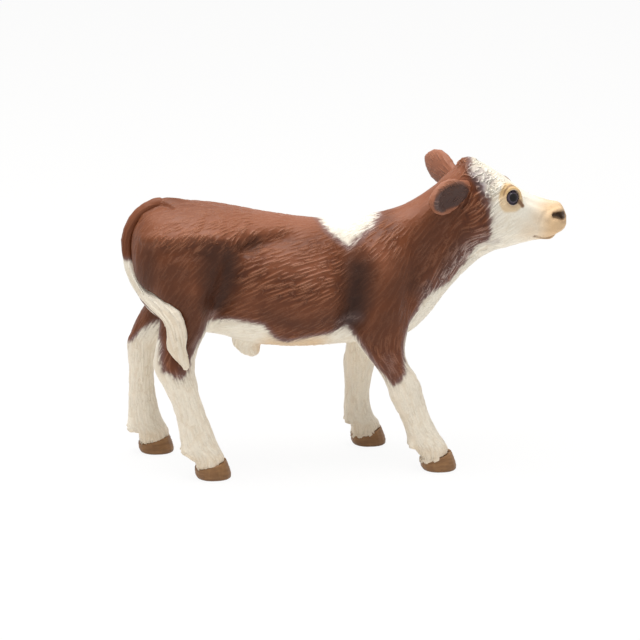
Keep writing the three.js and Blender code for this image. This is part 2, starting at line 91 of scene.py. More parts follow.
def putPoints(mesh, points):
    mesh.vertices.foreach_set("co", (points * mm).ravel())
    mesh.update()


def putAttribute(mesh, name, values):
    kind, key = ("FLOAT", "value") if values.ndim == 1 else ("FLOAT_VECTOR", "vector")
    rows = np.ascontiguousarray(values, float).ravel()
    mesh.attributes.new(name, kind, "POINT").data.foreach_set(key, rows)


def newObject(name, mesh):
    piece = bpy.data.objects.new(name, mesh)
    scene.collection.objects.link(piece)
    return piece


def modify(piece, kind, settings, sockets=()):  # by one modifier, which is then applied and gone
    modifier = piece.modifiers.new(kind, kind)
    for key, value in settings.items():
        setattr(modifier, key, value)
    for key, value in sockets:
        modifier[key] = value
    graph = bpy.context.evaluated_depsgraph_get()
    graph.update()
    mesh = bpy.data.meshes.new_from_object(piece.evaluated_get(graph))
    piece.modifiers.clear()
    piece.data = mesh


def remesh(piece, voxel):
    modify(piece, "REMESH", {"mode": "VOXEL", "voxel_size": voxel * mm})


def subdivide(piece):
    modify(piece, "SUBSURF", {"levels": 1, "render_levels": 1})


def smoothShade(mesh):
    mesh.polygons.foreach_set("use_smooth", np.ones(len(mesh.polygons), bool))
    mesh.update()


weld = 0.002 * mm  # corners nearer than this are one


def joinNodes(name, swells):  # merged copies of CAD nodes in one mesh, each swollen along its normals
    form = bmesh.new()
    for node, swell in swells.items():
        part = bmesh.new()
        part.from_mesh(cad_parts[node].data)
        bmesh.ops.remove_doubles(part, verts=part.verts, dist=weld)
        part.normal_update()
        for v in part.verts:
            v.co += v.normal * swell * mm
        bare = bpy.data.meshes.new(node + "Copy")
        part.to_mesh(bare)
        part.free()
        form.from_mesh(bare)
        bpy.data.meshes.remove(bare)
    mesh = bpy.data.meshes.new(name)
    form.to_mesh(mesh)
    form.free()
    return newObject(name, mesh)


relaxIn, relaxOut = 0.6, -0.62  # shares of the way to the mean, there and back


def relax(points, edges, rounds, weight=1.0, keepVolume=True):  # smoothing, by the mean of the neighbours
    count = len(points)
    ends = np.concatenate([edges[:, 0], edges[:, 1]])
    others = np.concatenate([edges[:, 1], edges[:, 0]])
    valence = np.maximum(np.bincount(ends, minlength=count), 1)[:, None]
    weight = np.broadcast_to(weight, count)[:, None]
    for _ in range(rounds):
        for step in (relaxIn, relaxOut) if keepVolume else (relaxIn,):
            mean = np.stack([np.bincount(ends, points[others, k], count) for k in range(3)], 1) / valence
            points = points + (mean - points) * step * weight
    return points


def formOf(node, voxel, rounds):  # a CAD node as one even, relaxed mesh
    piece = joinNodes(node + "Form", {node: 0.0})
    remesh(piece, voxel)
    return piece, relax(pointsOf(piece.data), edgesOf(piece.data), rounds)


def distance(points, place):
    return np.linalg.norm(points - place, axis=1)


def refine(mesh, rooms):  # every edge inside the balls is cut in half, and the new points settle
    def depths():
        points = pointsOf(mesh)
        return points, np.max([radius - distance(points, centre) for radius, centre in rooms], axis=0)

    _, depth = depths()
    form = bmesh.new()
    form.from_mesh(mesh)
    cut = [e for e in form.edges if depth[e.verts[0].index] > 0 and depth[e.verts[1].index] > 0]
    bmesh.ops.subdivide_edges(form, edges=cut, cuts=1, use_grid_fill=True)
    form.to_mesh(mesh)
    form.free()
    points, depth = depths()
    putPoints(mesh, relax(points, edgesOf(mesh), 2, (depth > 0).astype(float)))


def unit(vector):
    vector = np.array(vector, float)
    return vector / np.linalg.norm(vector)


def ease(low, high, values):
    t = np.clip((values - low) / (high - low), 0, 1)
    return t * t * (3 - 2 * t)


def fade(values, low, high, strength=1.0):
    return strength * ease(low, high, values)


def alongPath(points, path):  # distance to a path, and how far along it, from 0 to 1
    path = np.asarray(path, float)
    lengths = np.linalg.norm(np.diff(path, axis=0), axis=1)
    starts = np.concatenate([[0], np.cumsum(lengths)])
    best = np.full(len(points), np.inf)
    share = np.zeros(len(points))
    for k in range(len(lengths)):
        way = (path[k + 1] - path[k]) / lengths[k]
        run = np.clip((points - path[k]) @ way, 0, lengths[k])
        gap = np.linalg.norm(points - path[k] - run[:, None] * way, axis=1)
        closer = gap < best
        best[closer] = gap[closer]
        share[closer] = (starts[k] + run[closer]) / starts[-1]
    return best, share


def outlineDistance(points, outline):  # signed distance to a closed outline, positive inside it
    outline = np.asarray(outline, float)
    gap, _ = alongPath(points, np.vstack([outline, outline[:1]]))
    inside = np.zeros(len(points), bool)
    for a, b in zip(outline, np.roll(outline, -1, 0)):
        rising = (a[1] > points[:, 1]) != (b[1] > points[:, 1])
        with np.errstate(divide="ignore", invalid="ignore"):
            crossing = a[0] + (points[:, 1] - a[1]) * (b[0] - a[0]) / (b[1] - a[1])
        inside ^= rising & (points[:, 0] < crossing)
    return np.where(inside, gap, -gap)


noiseWaves, noiseRange = 12, 4


def lineNoise(points, scale, seed):  # smooth random waves in space, mostly -1 to 1
    rng = np.random.default_rng(seed)
    total = np.zeros(len(points))
    for _ in range(noiseWaves):
        wave = rng.normal(size=3) / scale
        total += np.sin(points @ wave * 2 + rng.uniform(0, 2 * math.pi))
    return total / noiseRange


def press(points, normals, gap, radius, height, mask=1.0):  # raises a stroke that fades out at its radius
    near = gap < radius
    fall = (1 - (gap[near] / radius) ** 2) ** 2
    points[near] += normals[near] * (fall * np.broadcast_to(mask, len(points))[near] * height)[:, None]


# The skin is one form over trunk, head and lower legs, parted again at the end where the mouldings meet

skinForm = {
    "swell": 0.2,  # closes the gaps between the mouldings
    "shrink": 0.12,  # and is mostly taken back
    "voxel": 0.52,
    "core": (-33.0, -2.0, 50.0),  # the bed under the tail sinks towards here: x, beside the middle, highest z
    "tailInset": 2.1,  # by this much
    "tailRoot": (-39.4, -43.0), "rootAbove": 52,  # and rises to the tail's own top between these places
    "rounds": 9,
    "bodyRounds": 10, "bodyFrom": (24, 34), "bodyBefore": 25, "bodyWeight": 0.8,  # more than down the legs
    "bedRounds": 14, "bedReach": (5.5, 2.5),
    "faceRooms": [(3.6, rightEye), (3.6, leftEye), (8.5, (45.5, middleY, 51.5))],  # finer within these balls
}
lowerLegs = ("right_foreleg", "left_foreleg", "right_hind_leg", "left_hind_leg")
shoulderX = -15  # the forelegs lie before this, the hind legs behind it
legAxes = {  # z and x down the middle of each leg
    "right_foreleg": [(35.3, 7.2), (30.3, 6.4), (25, 7.9), (21.3, 10.3), (15.9, 12.3), (8.7, 15.3),
                      (4.3, 18.6)],
    "left_foreleg": [(35.3, 6.8), (30.3, 5.9), (24.8, 5.4), (18.3, 4.3), (10.3, 4.0), (5.6, 5.0), (4.3, 6.1)],
    "right_hind_leg": [(40.3, -34.4), (34.8, -34.7), (30.6, -36.2), (24.7, -37.7), (16.8, -35.2),
                       (6.3, -32.2), (4.3, -30.2)],
    "left_hind_leg": [(40.3, -34.8), (34.8, -36.5), (31.3, -39.7), (25.2, -43.1), (13.3, -43.5),
                      (5.8, -42.5), (4.3, -41.1)],
}
tailPath = [(x, middleY + beside, z) for x, beside, z in [
    (-35, 0, 56.6), (-38.6, 0, 57.8), (-42.4, 0, 56.9), (-45.1, 0, 54.4), (-46.7, 0, 50.2),
    (-46.3, -0.5, 45.6), (-45, -2.2, 42.2), (-43.2, -5, 39.8), (-40.9, -8.6, 38.2), (-38.5, -11.2, 36.4),
    (-37.3, -12.3, 33.4), (-36.9, -12.6, 29.8), (-36, -12.5, 27), (-35.6, -12.2, 24.9),
]]


def legX(leg, heights):
    return np.interp(heights, *np.array(legAxes[leg][::-1]).T)


def onLeg(points, leg):
    right, fore = leg.startswith("right"), "fore" in leg
    return ((points[:, 1] < middleY) == right) & ((points[:, 0] > shoulderX) == fore)


def makeSkin():
    swells = {node: skinForm["swell"] for node in ("trunk", "head") + lowerLegs}
    skin = joinNodes("skin", dict(swells, tail=0.0))
    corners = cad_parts["tail"].data.vertices
    count = len({tuple(round(c, 7) for c in v.co) for v in corners})
    points = pointsOf(skin.data)
    tail = points[-count:]  # its corners come last, each once
    coreX, beside, highest = skinForm["core"]
    inward = (coreX, middleY + beside, highest) - tail
    inward[:, 2] = np.minimum(inward[:, 2], 0)
    inward /= np.linalg.norm(inward, axis=1)[:, None]
    bare = np.where(tail[:, 2] > skinForm["rootAbove"], ease(*skinForm["tailRoot"], tail[:, 0]), 1)
    points[-count:] = tail + inward * (bare * skinForm["tailInset"])[:, None]
    putPoints(skin.data, points)
    remesh(skin, skinForm["voxel"])
    edges = edgesOf(skin.data)
    points = relax(pointsOf(skin.data), edges, skinForm["rounds"])
    low, high = skinForm["bodyFrom"]
    body = np.clip((points[:, 2] - low) / (high - low), 0, 1) * (points[:, 0] < skinForm["bodyBefore"])
    points = relax(points, edges, skinForm["bodyRounds"], skinForm["bodyWeight"] * body)
    nearTail, _ = alongPath(points, tailPath)
    bed = ease(*skinForm["bedReach"], nearTail)
    points = relax(points, edges, skinForm["bedRounds"], bed, keepVolume=False)
    putPoints(skin.data, points - normalsOf(skin.data) * skinForm["shrink"])
    subdivide(skin)
    refine(skin.data, skinForm["faceRooms"])
    return skin


# Modelling of the body: soft strokes on both flanks, each a path in x and z with its radius and its height

bodyStrokes = [
    ([(-43.5, 52.2), (-39, 52.7), (-35, 52.9), (-31, 53.0), (-28, 52.8)], 1.6, 0.35),  # edge of the rump
    ([(-43, 50.2), (-39, 50.6), (-34.5, 50.8), (-30.5, 50.6)], 2.2, 0.2),
    ([(-28, 52.6), (-26, 51.8)], 1.8, 0.35),  # hip bone
    ([(-22.6, 49.6), (-18.8, 50.8), (-14.0, 51.6)], 1.7, -0.45),  # hollow under the loin
    ([(-25.8, 46.0), (-26.4, 42.5), (-27.6, 38), (-29.6, 34.5)], 3.0, -0.3),  # flank
    ([(-0.8, 50), (-0.4, 44), (-0.2, 38), (-0.8, 33.5)], 3.0, -0.25),  # behind the shoulder
    ([(0.2, 38.4), (0.1, 37), (-0.4, 34.6), (-1.2, 32.8)], 0.9, -0.25),
    ([(22.6, 58.5), (23.6, 53.5), (25, 49)], 2.2, -0.7),  # neck, behind the jaw
    ([(27.4, 54.5), (28.6, 52)], 4.2, 0.6),  # jaw
    ([(24, 46), (17, 37.5)], 1.6, 0.3),  # dewlap
    ([(-39.6, 33), (-40.4, 28.5)], 1.3, -0.35),  # above the hock
]


flankFacing = (0.05, 0.5)  # how far a normal turns sideways where the strokes set in


def modelBody(points, normals):
    for side in (-1, 1):
        mask = ease(*flankFacing, normals[:, 1] * side) * ((points[:, 1] - middleY) * side > 0)
        for path, radius, height in bodyStrokes:
            press(points, normals, alongPath(points[:, [0, 2]], path)[0], radius, height, mask)
    return points


sheath = {"tip": (-21.4, middleY, 25.6), "stretch": (1, 0.8, 1.1), "reach": (5, 0.4), "move": (1.6, 0, -0.8)}


def modelSheath(points, normals):
    away = np.linalg.norm((points - sheath["tip"]) * sheath["stretch"], axis=1)
    return points + np.array(sheath["move"]) * ease(*sheath["reach"], away)[:, None] ** 2


# Modelling of the head and the rump: strokes in space, mirrored about the calf's middle

rumpStrokes = [  # over the tail's root, and the fold beside it
    ([(-43.2, 0, 56.8), (-41.6, 0, 57.6), (-39.5, 0, 58.3), (-37.0, 0, 58.5), (-34.0, 0, 58.4)], 3.4, 0.62),
    ([(-44.3, -3.0, 54.9), (-43.3, -2.7, 55.8), (-42.0, -2.2, 56.5), (-40.9, -1.9, 57.3), (-40.0, -1.7, 57.8),
      (-39.0, -2.0, 58.0), (-38.2, -2.6, 58.0), (-37.2, -3.9, 57.8)], 0.95, -0.55),
]
nostril = {
    "middle": [(44.7, 54.2), (45.6, 54.1), (46.7, 53.8)],  # seen from the side
    "narrow": (1.5, 0.55), "inner": (-1.5, -0.5), "outside": 9,
    "radii": (1.0, 0.35), "depth": 1.2, "after": 40,
}
lips = [(46, 0.8), (50.5, 0.75), (52.5, 0.35), (53.6, 0)]  # height, and how far the muzzle is set back
mouthPath = [(40.4, -4.1, 49.8), (41.0, -4.0, 49.45), (42.1, -3.5, 48.9), (43, -3.45, 48.85),
             (43.9, -3.5, 48.95), (44.7, -3.5, 49.35), (45.5, -3.3, 49.75), (46.4, -2.3, 50.1),
             (46.9, -1.0, 50.2), (47.0, 0.0, 50.2)]
muzzleLift = {"from": (35.5, 43.5), "height": (52.5, 48.4), "lift": 0.85, "lips": (43.5, 46.5),
              "tip": (46.6, 0.0, 56.0), "reach": 3.2, "push": (0.5, 0, 0.45)}
headStrokes = [
    ([(32.2, -6.6, 60.9), (33.8, -6.5, 61.9), (35.8, -6.0, 61.6), (37.4, -5.6, 60.2)], 1.4, 0.45),  # brow
    ([(37.6, -6.2, 57.0), (40.5, -5.2, 55.4), (42.2, -4.8, 54.6)], 1.7, 0.15),  # cheek bone
    ([(38.6, -4.4, 57.6), (41, -3.8, 56.6), (43.0, -3.4, 55.8)], 1.2, -0.15),
    ([(33.6, -6.6, 54.2), (38, -5.4, 52.4)], 2.2, -0.3),
    # the wing of the nostril, and the crease behind it
    ([(43.4, -4.9, 53.6), (44.2, -4.8, 54.9), (45.4, -3.8, 55.3), (46.6, -2.6, 55.2)], 1.1, 0.3),
    ([(43.2, -4.4, 55.4), (42.3, -5.0, 54.6), (41.6, -5.2, 53.6), (41.4, -5.3, 52.5)], 0.7, -0.14),
    ([(44.4, -4.6, 52.6), (46.6, -3.2, 52.4)], 1.3, 0.4),
    ([(42.6, 0.0, 57.2), (44.2, 0.0, 56.8)], 2.2, -0.3),  # top of the nose
    ([(42.4, -4.6, 51.4), (44.8, -4.2, 51.2), (46.6, -2.6, 51.4)], 1.6, 0.35),  # upper lip
    ([(42.6, -3.6, 48.5), (45.2, -2.4, 48.5)], 1.2, 0.35),  # chin
    ([(31.5, -5.4, 48.6), (36, -4.6, 47.9), (40.5, -3.6, 48)], 1.2, 0.25),  # edge of the jaw
    ([(32, 0.0, 46.2), (40.5, 0.0, 46.8)], 1.8, -0.45),
    ([(47.9, 0.0, 53.2), (47.9, 0.0, 50.8)], 0.5, -0.25),  # between the nostrils
    ([(25.4, 0.0, 65.2), (27.0, 0.0, 66.0)], 1.7, 0.55),  # poll
    ([(25.4, -2.2, 65.2), (27.2, -2.4, 64.6)], 1.2, 0.3),
    (mouthPath, 0.45, -0.45),
]


def nostrilGap(mirrored):
    gap, share = alongPath(mirrored[:, [0, 2]], nostril["middle"])
    start, less = nostril["narrow"]
    return gap * (start - less * share) + nostril["outside"] * ease(*nostril["inner"], mirrored[:, 1])


def modelHead(points, normals):
    lift = ease(*muzzleLift["from"], points[:, 0]) * ease(*muzzleLift["height"], points[:, 2])
    points[:, 2] += lift * muzzleLift["lift"]
    away = distance(points - muzzleLift["tip"], (0, middleY, 0))
    points += np.array(muzzleLift["push"]) * ease(muzzleLift["reach"], 0, away)[:, None]
    points[:, 0] -= np.interp(points[:, 2], *np.array(lips).T) * ease(*muzzleLift["lips"], points[:, 0])
    for side in (-1, 1):
        mirrored = (points - (0, middleY, 0)) * (1, -side, 1)
        for path, radius, height in headStrokes + rumpStrokes:
            if side < 0 or any(beside for _, beside, _ in path):  # a stroke down the middle is made once
                press(points, normals, alongPath(mirrored, path)[0], radius, height)
        fall = ease(*nostril["radii"], nostrilGap(mirrored)) * (points[:, 0] > nostril["after"])
        points -= normals * (fall * nostril["depth"])[:, None]
    return points


eyeForm = {
    "turn": (0.22, 0.95, 0.2), "tall": 0.86, "lean": 10,  # taller than wide, its top leaning forwards
    "open": (0.96, 1.11), "lid": 1.5, "bed": 0.25, "around": (2.9, 1.75), "behind": -1.0,
    "arch": (0.2, 1.6, 0.12), "leftTop": (1.2, 2.2, 0.5),  # how the lid rises and falls towards its top
}


def eyePlace(points, centre):  # an eye's axis, the height along it, the distance from it and the rise
    side = -1 if centre[1] < middleY else 1
    axis = unit(np.array(eyeForm["turn"]) * (1, side, 1))
    offset = points - centre
    height = offset @ axis
    flat = offset - height[:, None] * axis
    lean = math.radians(eyeForm["lean"])
    over = flat[:, 0] * math.cos(lean) - flat[:, 2] * math.sin(lean)
    rise = flat[:, 0] * math.sin(lean) + flat[:, 2] * math.cos(lean)
    away = np.sqrt(over ** 2 + (rise * eyeForm["tall"]) ** 2 + flat[:, 1] ** 2)
    return axis, height, away, rise


def modelEyes(points, normals):  # the skin sinks under the ball and rises into a lid around it
    for centre in (rightEye, leftEye):
        axis, height, away, rise = eyePlace(points, centre)
        low, high, arch = eyeForm["arch"]
        lid = eyeForm["lid"] + arch * ease(low, high, rise)
        low, high, fall = eyeForm["leftTop"]
        lid = lid - fall * ease(low, high, rise) * (centre[1] > middleY)
        form = eyeForm["bed"] + (lid - eyeForm["bed"]) * ease(*eyeForm["open"], away)
        share = ease(*eyeForm["around"], away) * (height > eyeForm["behind"])
        points = points + axis * ((form - height) * share)[:, None]
    return points


# Which way the hair lies: x, z, the angle of the combing, how deep it is and how long, on either flank.
# At 0 degrees the hair points backwards, at 90 straight down.
coatGuides = [
    (-44, 54, 60, 0.35, 0.5), (-40, 56, 40, 0.35, 0.45), (-34, 56, 35, 0.4, 0.4), (-26, 55.5, 32, 0.45, 0.4),
    (-18, 54.5, 30, 0.35, 0.4), (-10, 53.5, 28, 0.3, 0.45), (-2, 53, 35, 0.3, 0.45),  # along the back
    (-39, 52.6, 42, 1.1, 0.55), (-33, 53, 44, 1.25, 0.55), (-27, 53, 46, 1.25, 0.5),
    (-21, 52.6, 40, 1.1, 0.5), (-14, 52.2, 30, 0.8, 0.5),  # along the edge of the rump and the loin
    (-41, 49, 60, 0.3, 0.8), (-37, 46.5, 50, 0.5, 0.8), (-31, 46.5, 44, 0.35, 0.8), (-42, 43, 66, 0.25, 1.0),
    (-36, 42, 54, 0.35, 1.0), (-31, 41, 45, 0.3, 0.8), (-35, 35, 62, 0.3, 0.9),
    (-30.5, 34, 55, 0.45, 0.7),  # thigh
    (-27, 47, 30, 0.25, 0.6), (-27, 41, 35, 0.4, 0.5), (-26, 36, 20, 0.6, 0.5),  # flank
    (-22, 48.4, 26, 0.6, 0.6), (-22, 44, 26, 1.1, 1.0), (-16, 47, 19, 1.0, 0.9), (-16, 42.5, 22, 1.3, 1.1),
    (-10, 46.5, 15, 1.1, 0.9), (-10, 42, 19, 1.35, 1.1), (-5, 45, 12, 1.0, 0.7),
    (-4.5, 41, 15, 1.0, 0.7),  # ribs
    (-14, 50.2, 22, 0.4, 0.5), (-7, 49.4, 30, 0.6, 0.5), (-13, 44.6, 17, 1.2, 1.0), (-19, 45, 22, 1.1, 1.0),
    (-21, 38, 30, 0.4, 0.9), (-16, 36, 36, 0.3, 0.9), (-10, 35, 38, 0.3, 0.9), (-4, 36, 34, 0.4, 0.7),
    (-12, 30.5, 35, 0.7, 0.6), (-5, 33, 38, 0.7, 0.5), (-20, 35.2, 20, 0.7, 0.6), (-20, 31, 12, 0.5, 0.7),
    (-10, 28.5, 8, 0.4, 0.7), (-3, 31, 15, 0.5, 0.5),  # belly
    (1, 46, 35, 0.3, 0.6), (1, 40, 40, 0.25, 0.6), (0, 35, 35, 0.3, 0.5),  # behind the shoulder
    (4, 51, 52, 1.0, 0.6), (8.5, 50, 50, 0.9, 0.6), (13, 51, 48, 0.5, 0.7), (8, 46, 45, 0.35, 0.9),
    (13, 45, 52, 0.3, 0.9), (9, 41, 50, 0.2, 0.9), (14, 39, 58, 0.3, 0.7), (6, 34, 62, 0.25, 0.7),
    (9.5, 31, 64, 0.4, 0.6), (8, 26, 70, 0.6, 0.5),  # shoulder and foreleg
    (12, 56, 45, 0.3, 0.7), (18, 59, 42, 0.25, 0.7), (23, 63, 45, 0.3, 0.5), (18, 52, 52, 0.25, 0.9),
    (22.5, 56, 58, 0.2, 0.8), (19, 46, 58, 0.5, 0.7), (23.6, 51, 60, 0.4, 0.6),  # neck
    (24.6, 46.4, 60, 1.5, 0.65), (21, 42, 56, 1.5, 0.65), (16.5, 39, 56, 1.3, 0.6),
    (27.4, 48.6, 40, 1.3, 0.6), (26.6, 60.6, 80, 1.3, 0.75), (28.8, 58.6, 56, 1.5, 0.75),
    (29.8, 55.6, 48, 1.5, 0.75), (29.8, 53, 40, 1.5, 0.75), (29, 50.4, 12, 1.4, 0.75),
    (26, 55.4, 22, 1.0, 0.75), (25.6, 52, 8, 0.7, 0.75), (25.4, 58.6, 60, 1.2, 0.75),  # cheek
    (26.2, 65, 60, 0.6, 0.4), (24.6, 64, 50, 0.4, 0.5), (30.5, 63, 55, 0.7, 0.4), (35, 58, 20, 0.1, 0.8),
    (40, 55, 15, 0.06, 0.8), (46, 52, 20, 0.0, 0.8), (38, 49, 30, 0.3, 0.5), (33, 50.4, 35, 0.5, 0.5),
    (31.6, 54, 40, 0.2, 0.5),  # face
    (18, 38, 56, 0.9, 0.6), (12.6, 35, 60, 0.5, 0.6), (22, 41, 56, 0.9, 0.6),  # breast
]
guideFall = {"soft": 1.5, "power": 1.8}  # how a guide's weight falls with its distance
legHair = {"depth": 0.75, "length": 0.6, "top": (33.0, 25.0), "step": 2}
forelock = {"path": [(26.3, 65.2), (27.6, 63.4), (29.4, 61.0)], "reach": (3.4, 1.7), "curl": 1.5,
            "curlSize": 1.0, "seed": 8, "depth": 1.9, "length": 0.42}


def alongSkin(flow, normals):
    flow = flow - normals * (flow * normals).sum(1)[:, None]
    return flow / (np.linalg.norm(flow, axis=1)[:, None] + 1e-9)


def setHair(mesh, flow, depth, length):
    for name, values in (("flow", flow), ("hairDepth", depth), ("hairLength", length)):
        putAttribute(mesh, name, values)


def combCoat(mesh):
    points, normals = pointsOf(mesh), normalsOf(mesh)
    guides = np.array(coatGuides)
    angles = np.radians(guides[:, 2])
    ways = np.stack([-np.cos(angles), -np.sin(angles), guides[:, 3], guides[:, 4]], 1)
    total = np.zeros((len(points), 4))
    weights = np.zeros(len(points))
    for guide, way in zip(guides, ways):
        away = (points[:, 0] - guide[0]) ** 2 + (points[:, 2] - guide[1]) ** 2
        near = 1 / (away + guideFall["soft"]) ** guideFall["power"]
        total += near[:, None] * way
        weights += near
    total /= weights[:, None]
    flat = np.zeros(len(points))
    flow = np.stack([total[:, 0], flat, total[:, 1]], 1)
    down = ease(*legHair["top"], points[:, 2])
    for leg in lowerLegs:
        drop = legX(leg, points[:, 2] - legHair["step"]) - legX(leg, points[:, 2])
        along = np.stack([drop, flat, flat - legHair["step"]], 1)
        along /= np.linalg.norm(along, axis=1)[:, None]
        share = (down * onLeg(points, leg))[:, None]
        flow = flow * (1 - share) + along * share
    depth = total[:, 2] * (1 - down) + legHair["depth"] * down
    length = total[:, 3] * (1 - down) + legHair["length"] * down
    flow = alongSkin(flow, normals)
    lock = fade(alongPath(points[:, [0, 2]], forelock["path"])[0], *forelock["reach"])
    curls = lineNoise(points, forelock["curlSize"], forelock["seed"])
    turn = (curls * forelock["curl"] * lock)[:, None]
    flow = flow * np.cos(turn) + np.cross(normals, flow) * np.sin(turn)
    depth = depth + (forelock["depth"] - depth) * lock
    setHair(mesh, flow, depth, length + (forelock["length"] - length) * lock)


# Nodes: inputs are given by name or place, as plain numbers or as values that come from other nodes


class Value:  # what comes out of a node's socket, for sums with numbers and other values

    def __init__(self, socket):
        self.socket = socket

    def maths(self, operation, *others):
        return maths(self.socket.id_data, operation, self, *others)

    def __add__(self, other):
        return self.maths("ADD", other)

    def __sub__(self, other):
        return self.maths("SUBTRACT", other)

    def __rsub__(self, other):
        return maths(self.socket.id_data, "SUBTRACT", other, self)

    def __mul__(self, other):
        return self.maths("MULTIPLY", other)

    def __truediv__(self, other):
        return self.maths("DIVIDE", other)

    def scaled(self, factor, plus):  # in one node
        return self.maths("MULTIPLY_ADD", factor, plus)

    def vector(self, operation, other=(0, 0, 0)):
        inputs = {0: self, "Scale" if operation == "SCALE" else 1: other}
        output = "Value" if operation in ("DOT_PRODUCT", "LENGTH") else "Vector"
        return get(self.socket.id_data, "ShaderNodeVectorMath", output, inputs, operation=operation)

    def ramp(self, low, high, toLow=0.0, toHigh=1.0):
        inputs = {"Value": self, "From Min": low, "From Max": high, "To Min": toLow, "To Max": toHigh}
        tree = self.socket.id_data
        return get(tree, "ShaderNodeMapRange", "Result", inputs, interpolation_type="SMOOTHSTEP")

    def mix(self, first, second):  # of two colours, with this value as the share of the second
        return get(self.socket.id_data, "ShaderNodeMix", 2, {0: self, 6: first, 7: second}, data_type="RGBA")


def fill(node, inputs):
    for key, value in inputs.items():
        if isinstance(value, Value):
            node.id_data.links.new(value.socket, node.inputs[key])
        else:
            node.inputs[key].default_value = value


def addNode(tree, kind, inputs=None, **settings):
    node = tree.nodes.new(kind)
    for key, value in settings.items():
        setattr(node, key, value)
    fill(node, inputs or {})
    return node


def get(tree, kind, output, inputs=None, **settings):  # one output of a new node
    return Value(addNode(tree, kind, inputs, **settings).outputs[output])


def maths(tree, operation, *terms):
    return get(tree, "ShaderNodeMath", 0, dict(enumerate(terms)), operation=operation)


def noise(tree, place, scale, detail, output="Fac"):
    return get(tree, "ShaderNodeTexNoise", output, {"Vector": place, "Scale": scale, "Detail": detail})


def valuesOf(node):
    return {socket.name: Value(socket) for socket in node.outputs}


socketKinds = {"Geometry": "Geometry", "Material": "Material", "Seed": "Int", "Layers": "Int"}  # else floats


def makeGroup(name, kind, inputs, outputs):
    group = bpy.data.node_groups.new(name, kind)
    for way, labels in (("INPUT", inputs), ("OUTPUT", outputs)):
        for label in labels:
            socketType = "NodeSocket" + socketKinds.get(label, "Float")
            group.interface.new_socket(label, in_out=way, socket_type=socketType)
    return group, valuesOf(group.nodes.new("NodeGroupInput"))


# Combed hair: strokes grow over a surface along its flow, layer after layer, each where the layers before
# it left room, and the surface rises under each into a lock

combing = {
    "Spread": 2.1 * mm,  # between the roots of one layer
    "Room": 0.5 * mm,  # between one stroke and the next beside it
    "Length": 5.2 * mm, "Width": 0.35 * mm, "Depth": 0.16 * mm, "Wander": 0.09, "Seed": 4, "Layers": 12,
}
combSteps = 12
combForm = {
    "thread": 1e-5, "shortest": 5.0,  # half the width of a thread, and how many points a kept stroke has
    "fineness": (0.6, 0.4),  # short hair is thin and lies close
    "density": 2e6, "bald": (0.02, 0.1), "layerSeed": 17.0, "later": 0.75,
    "waves": (320.0, 1.0), "sway": 4.0, "pace": (0.7, 0.65),
    "root": (-0.3, 0.35), "tip": (1.25, 0.45, 0.1, 1.0), "swell": (-0.15, 0.5), "tones": (0.5, 0.7),
    "sunk": 0.25,
}


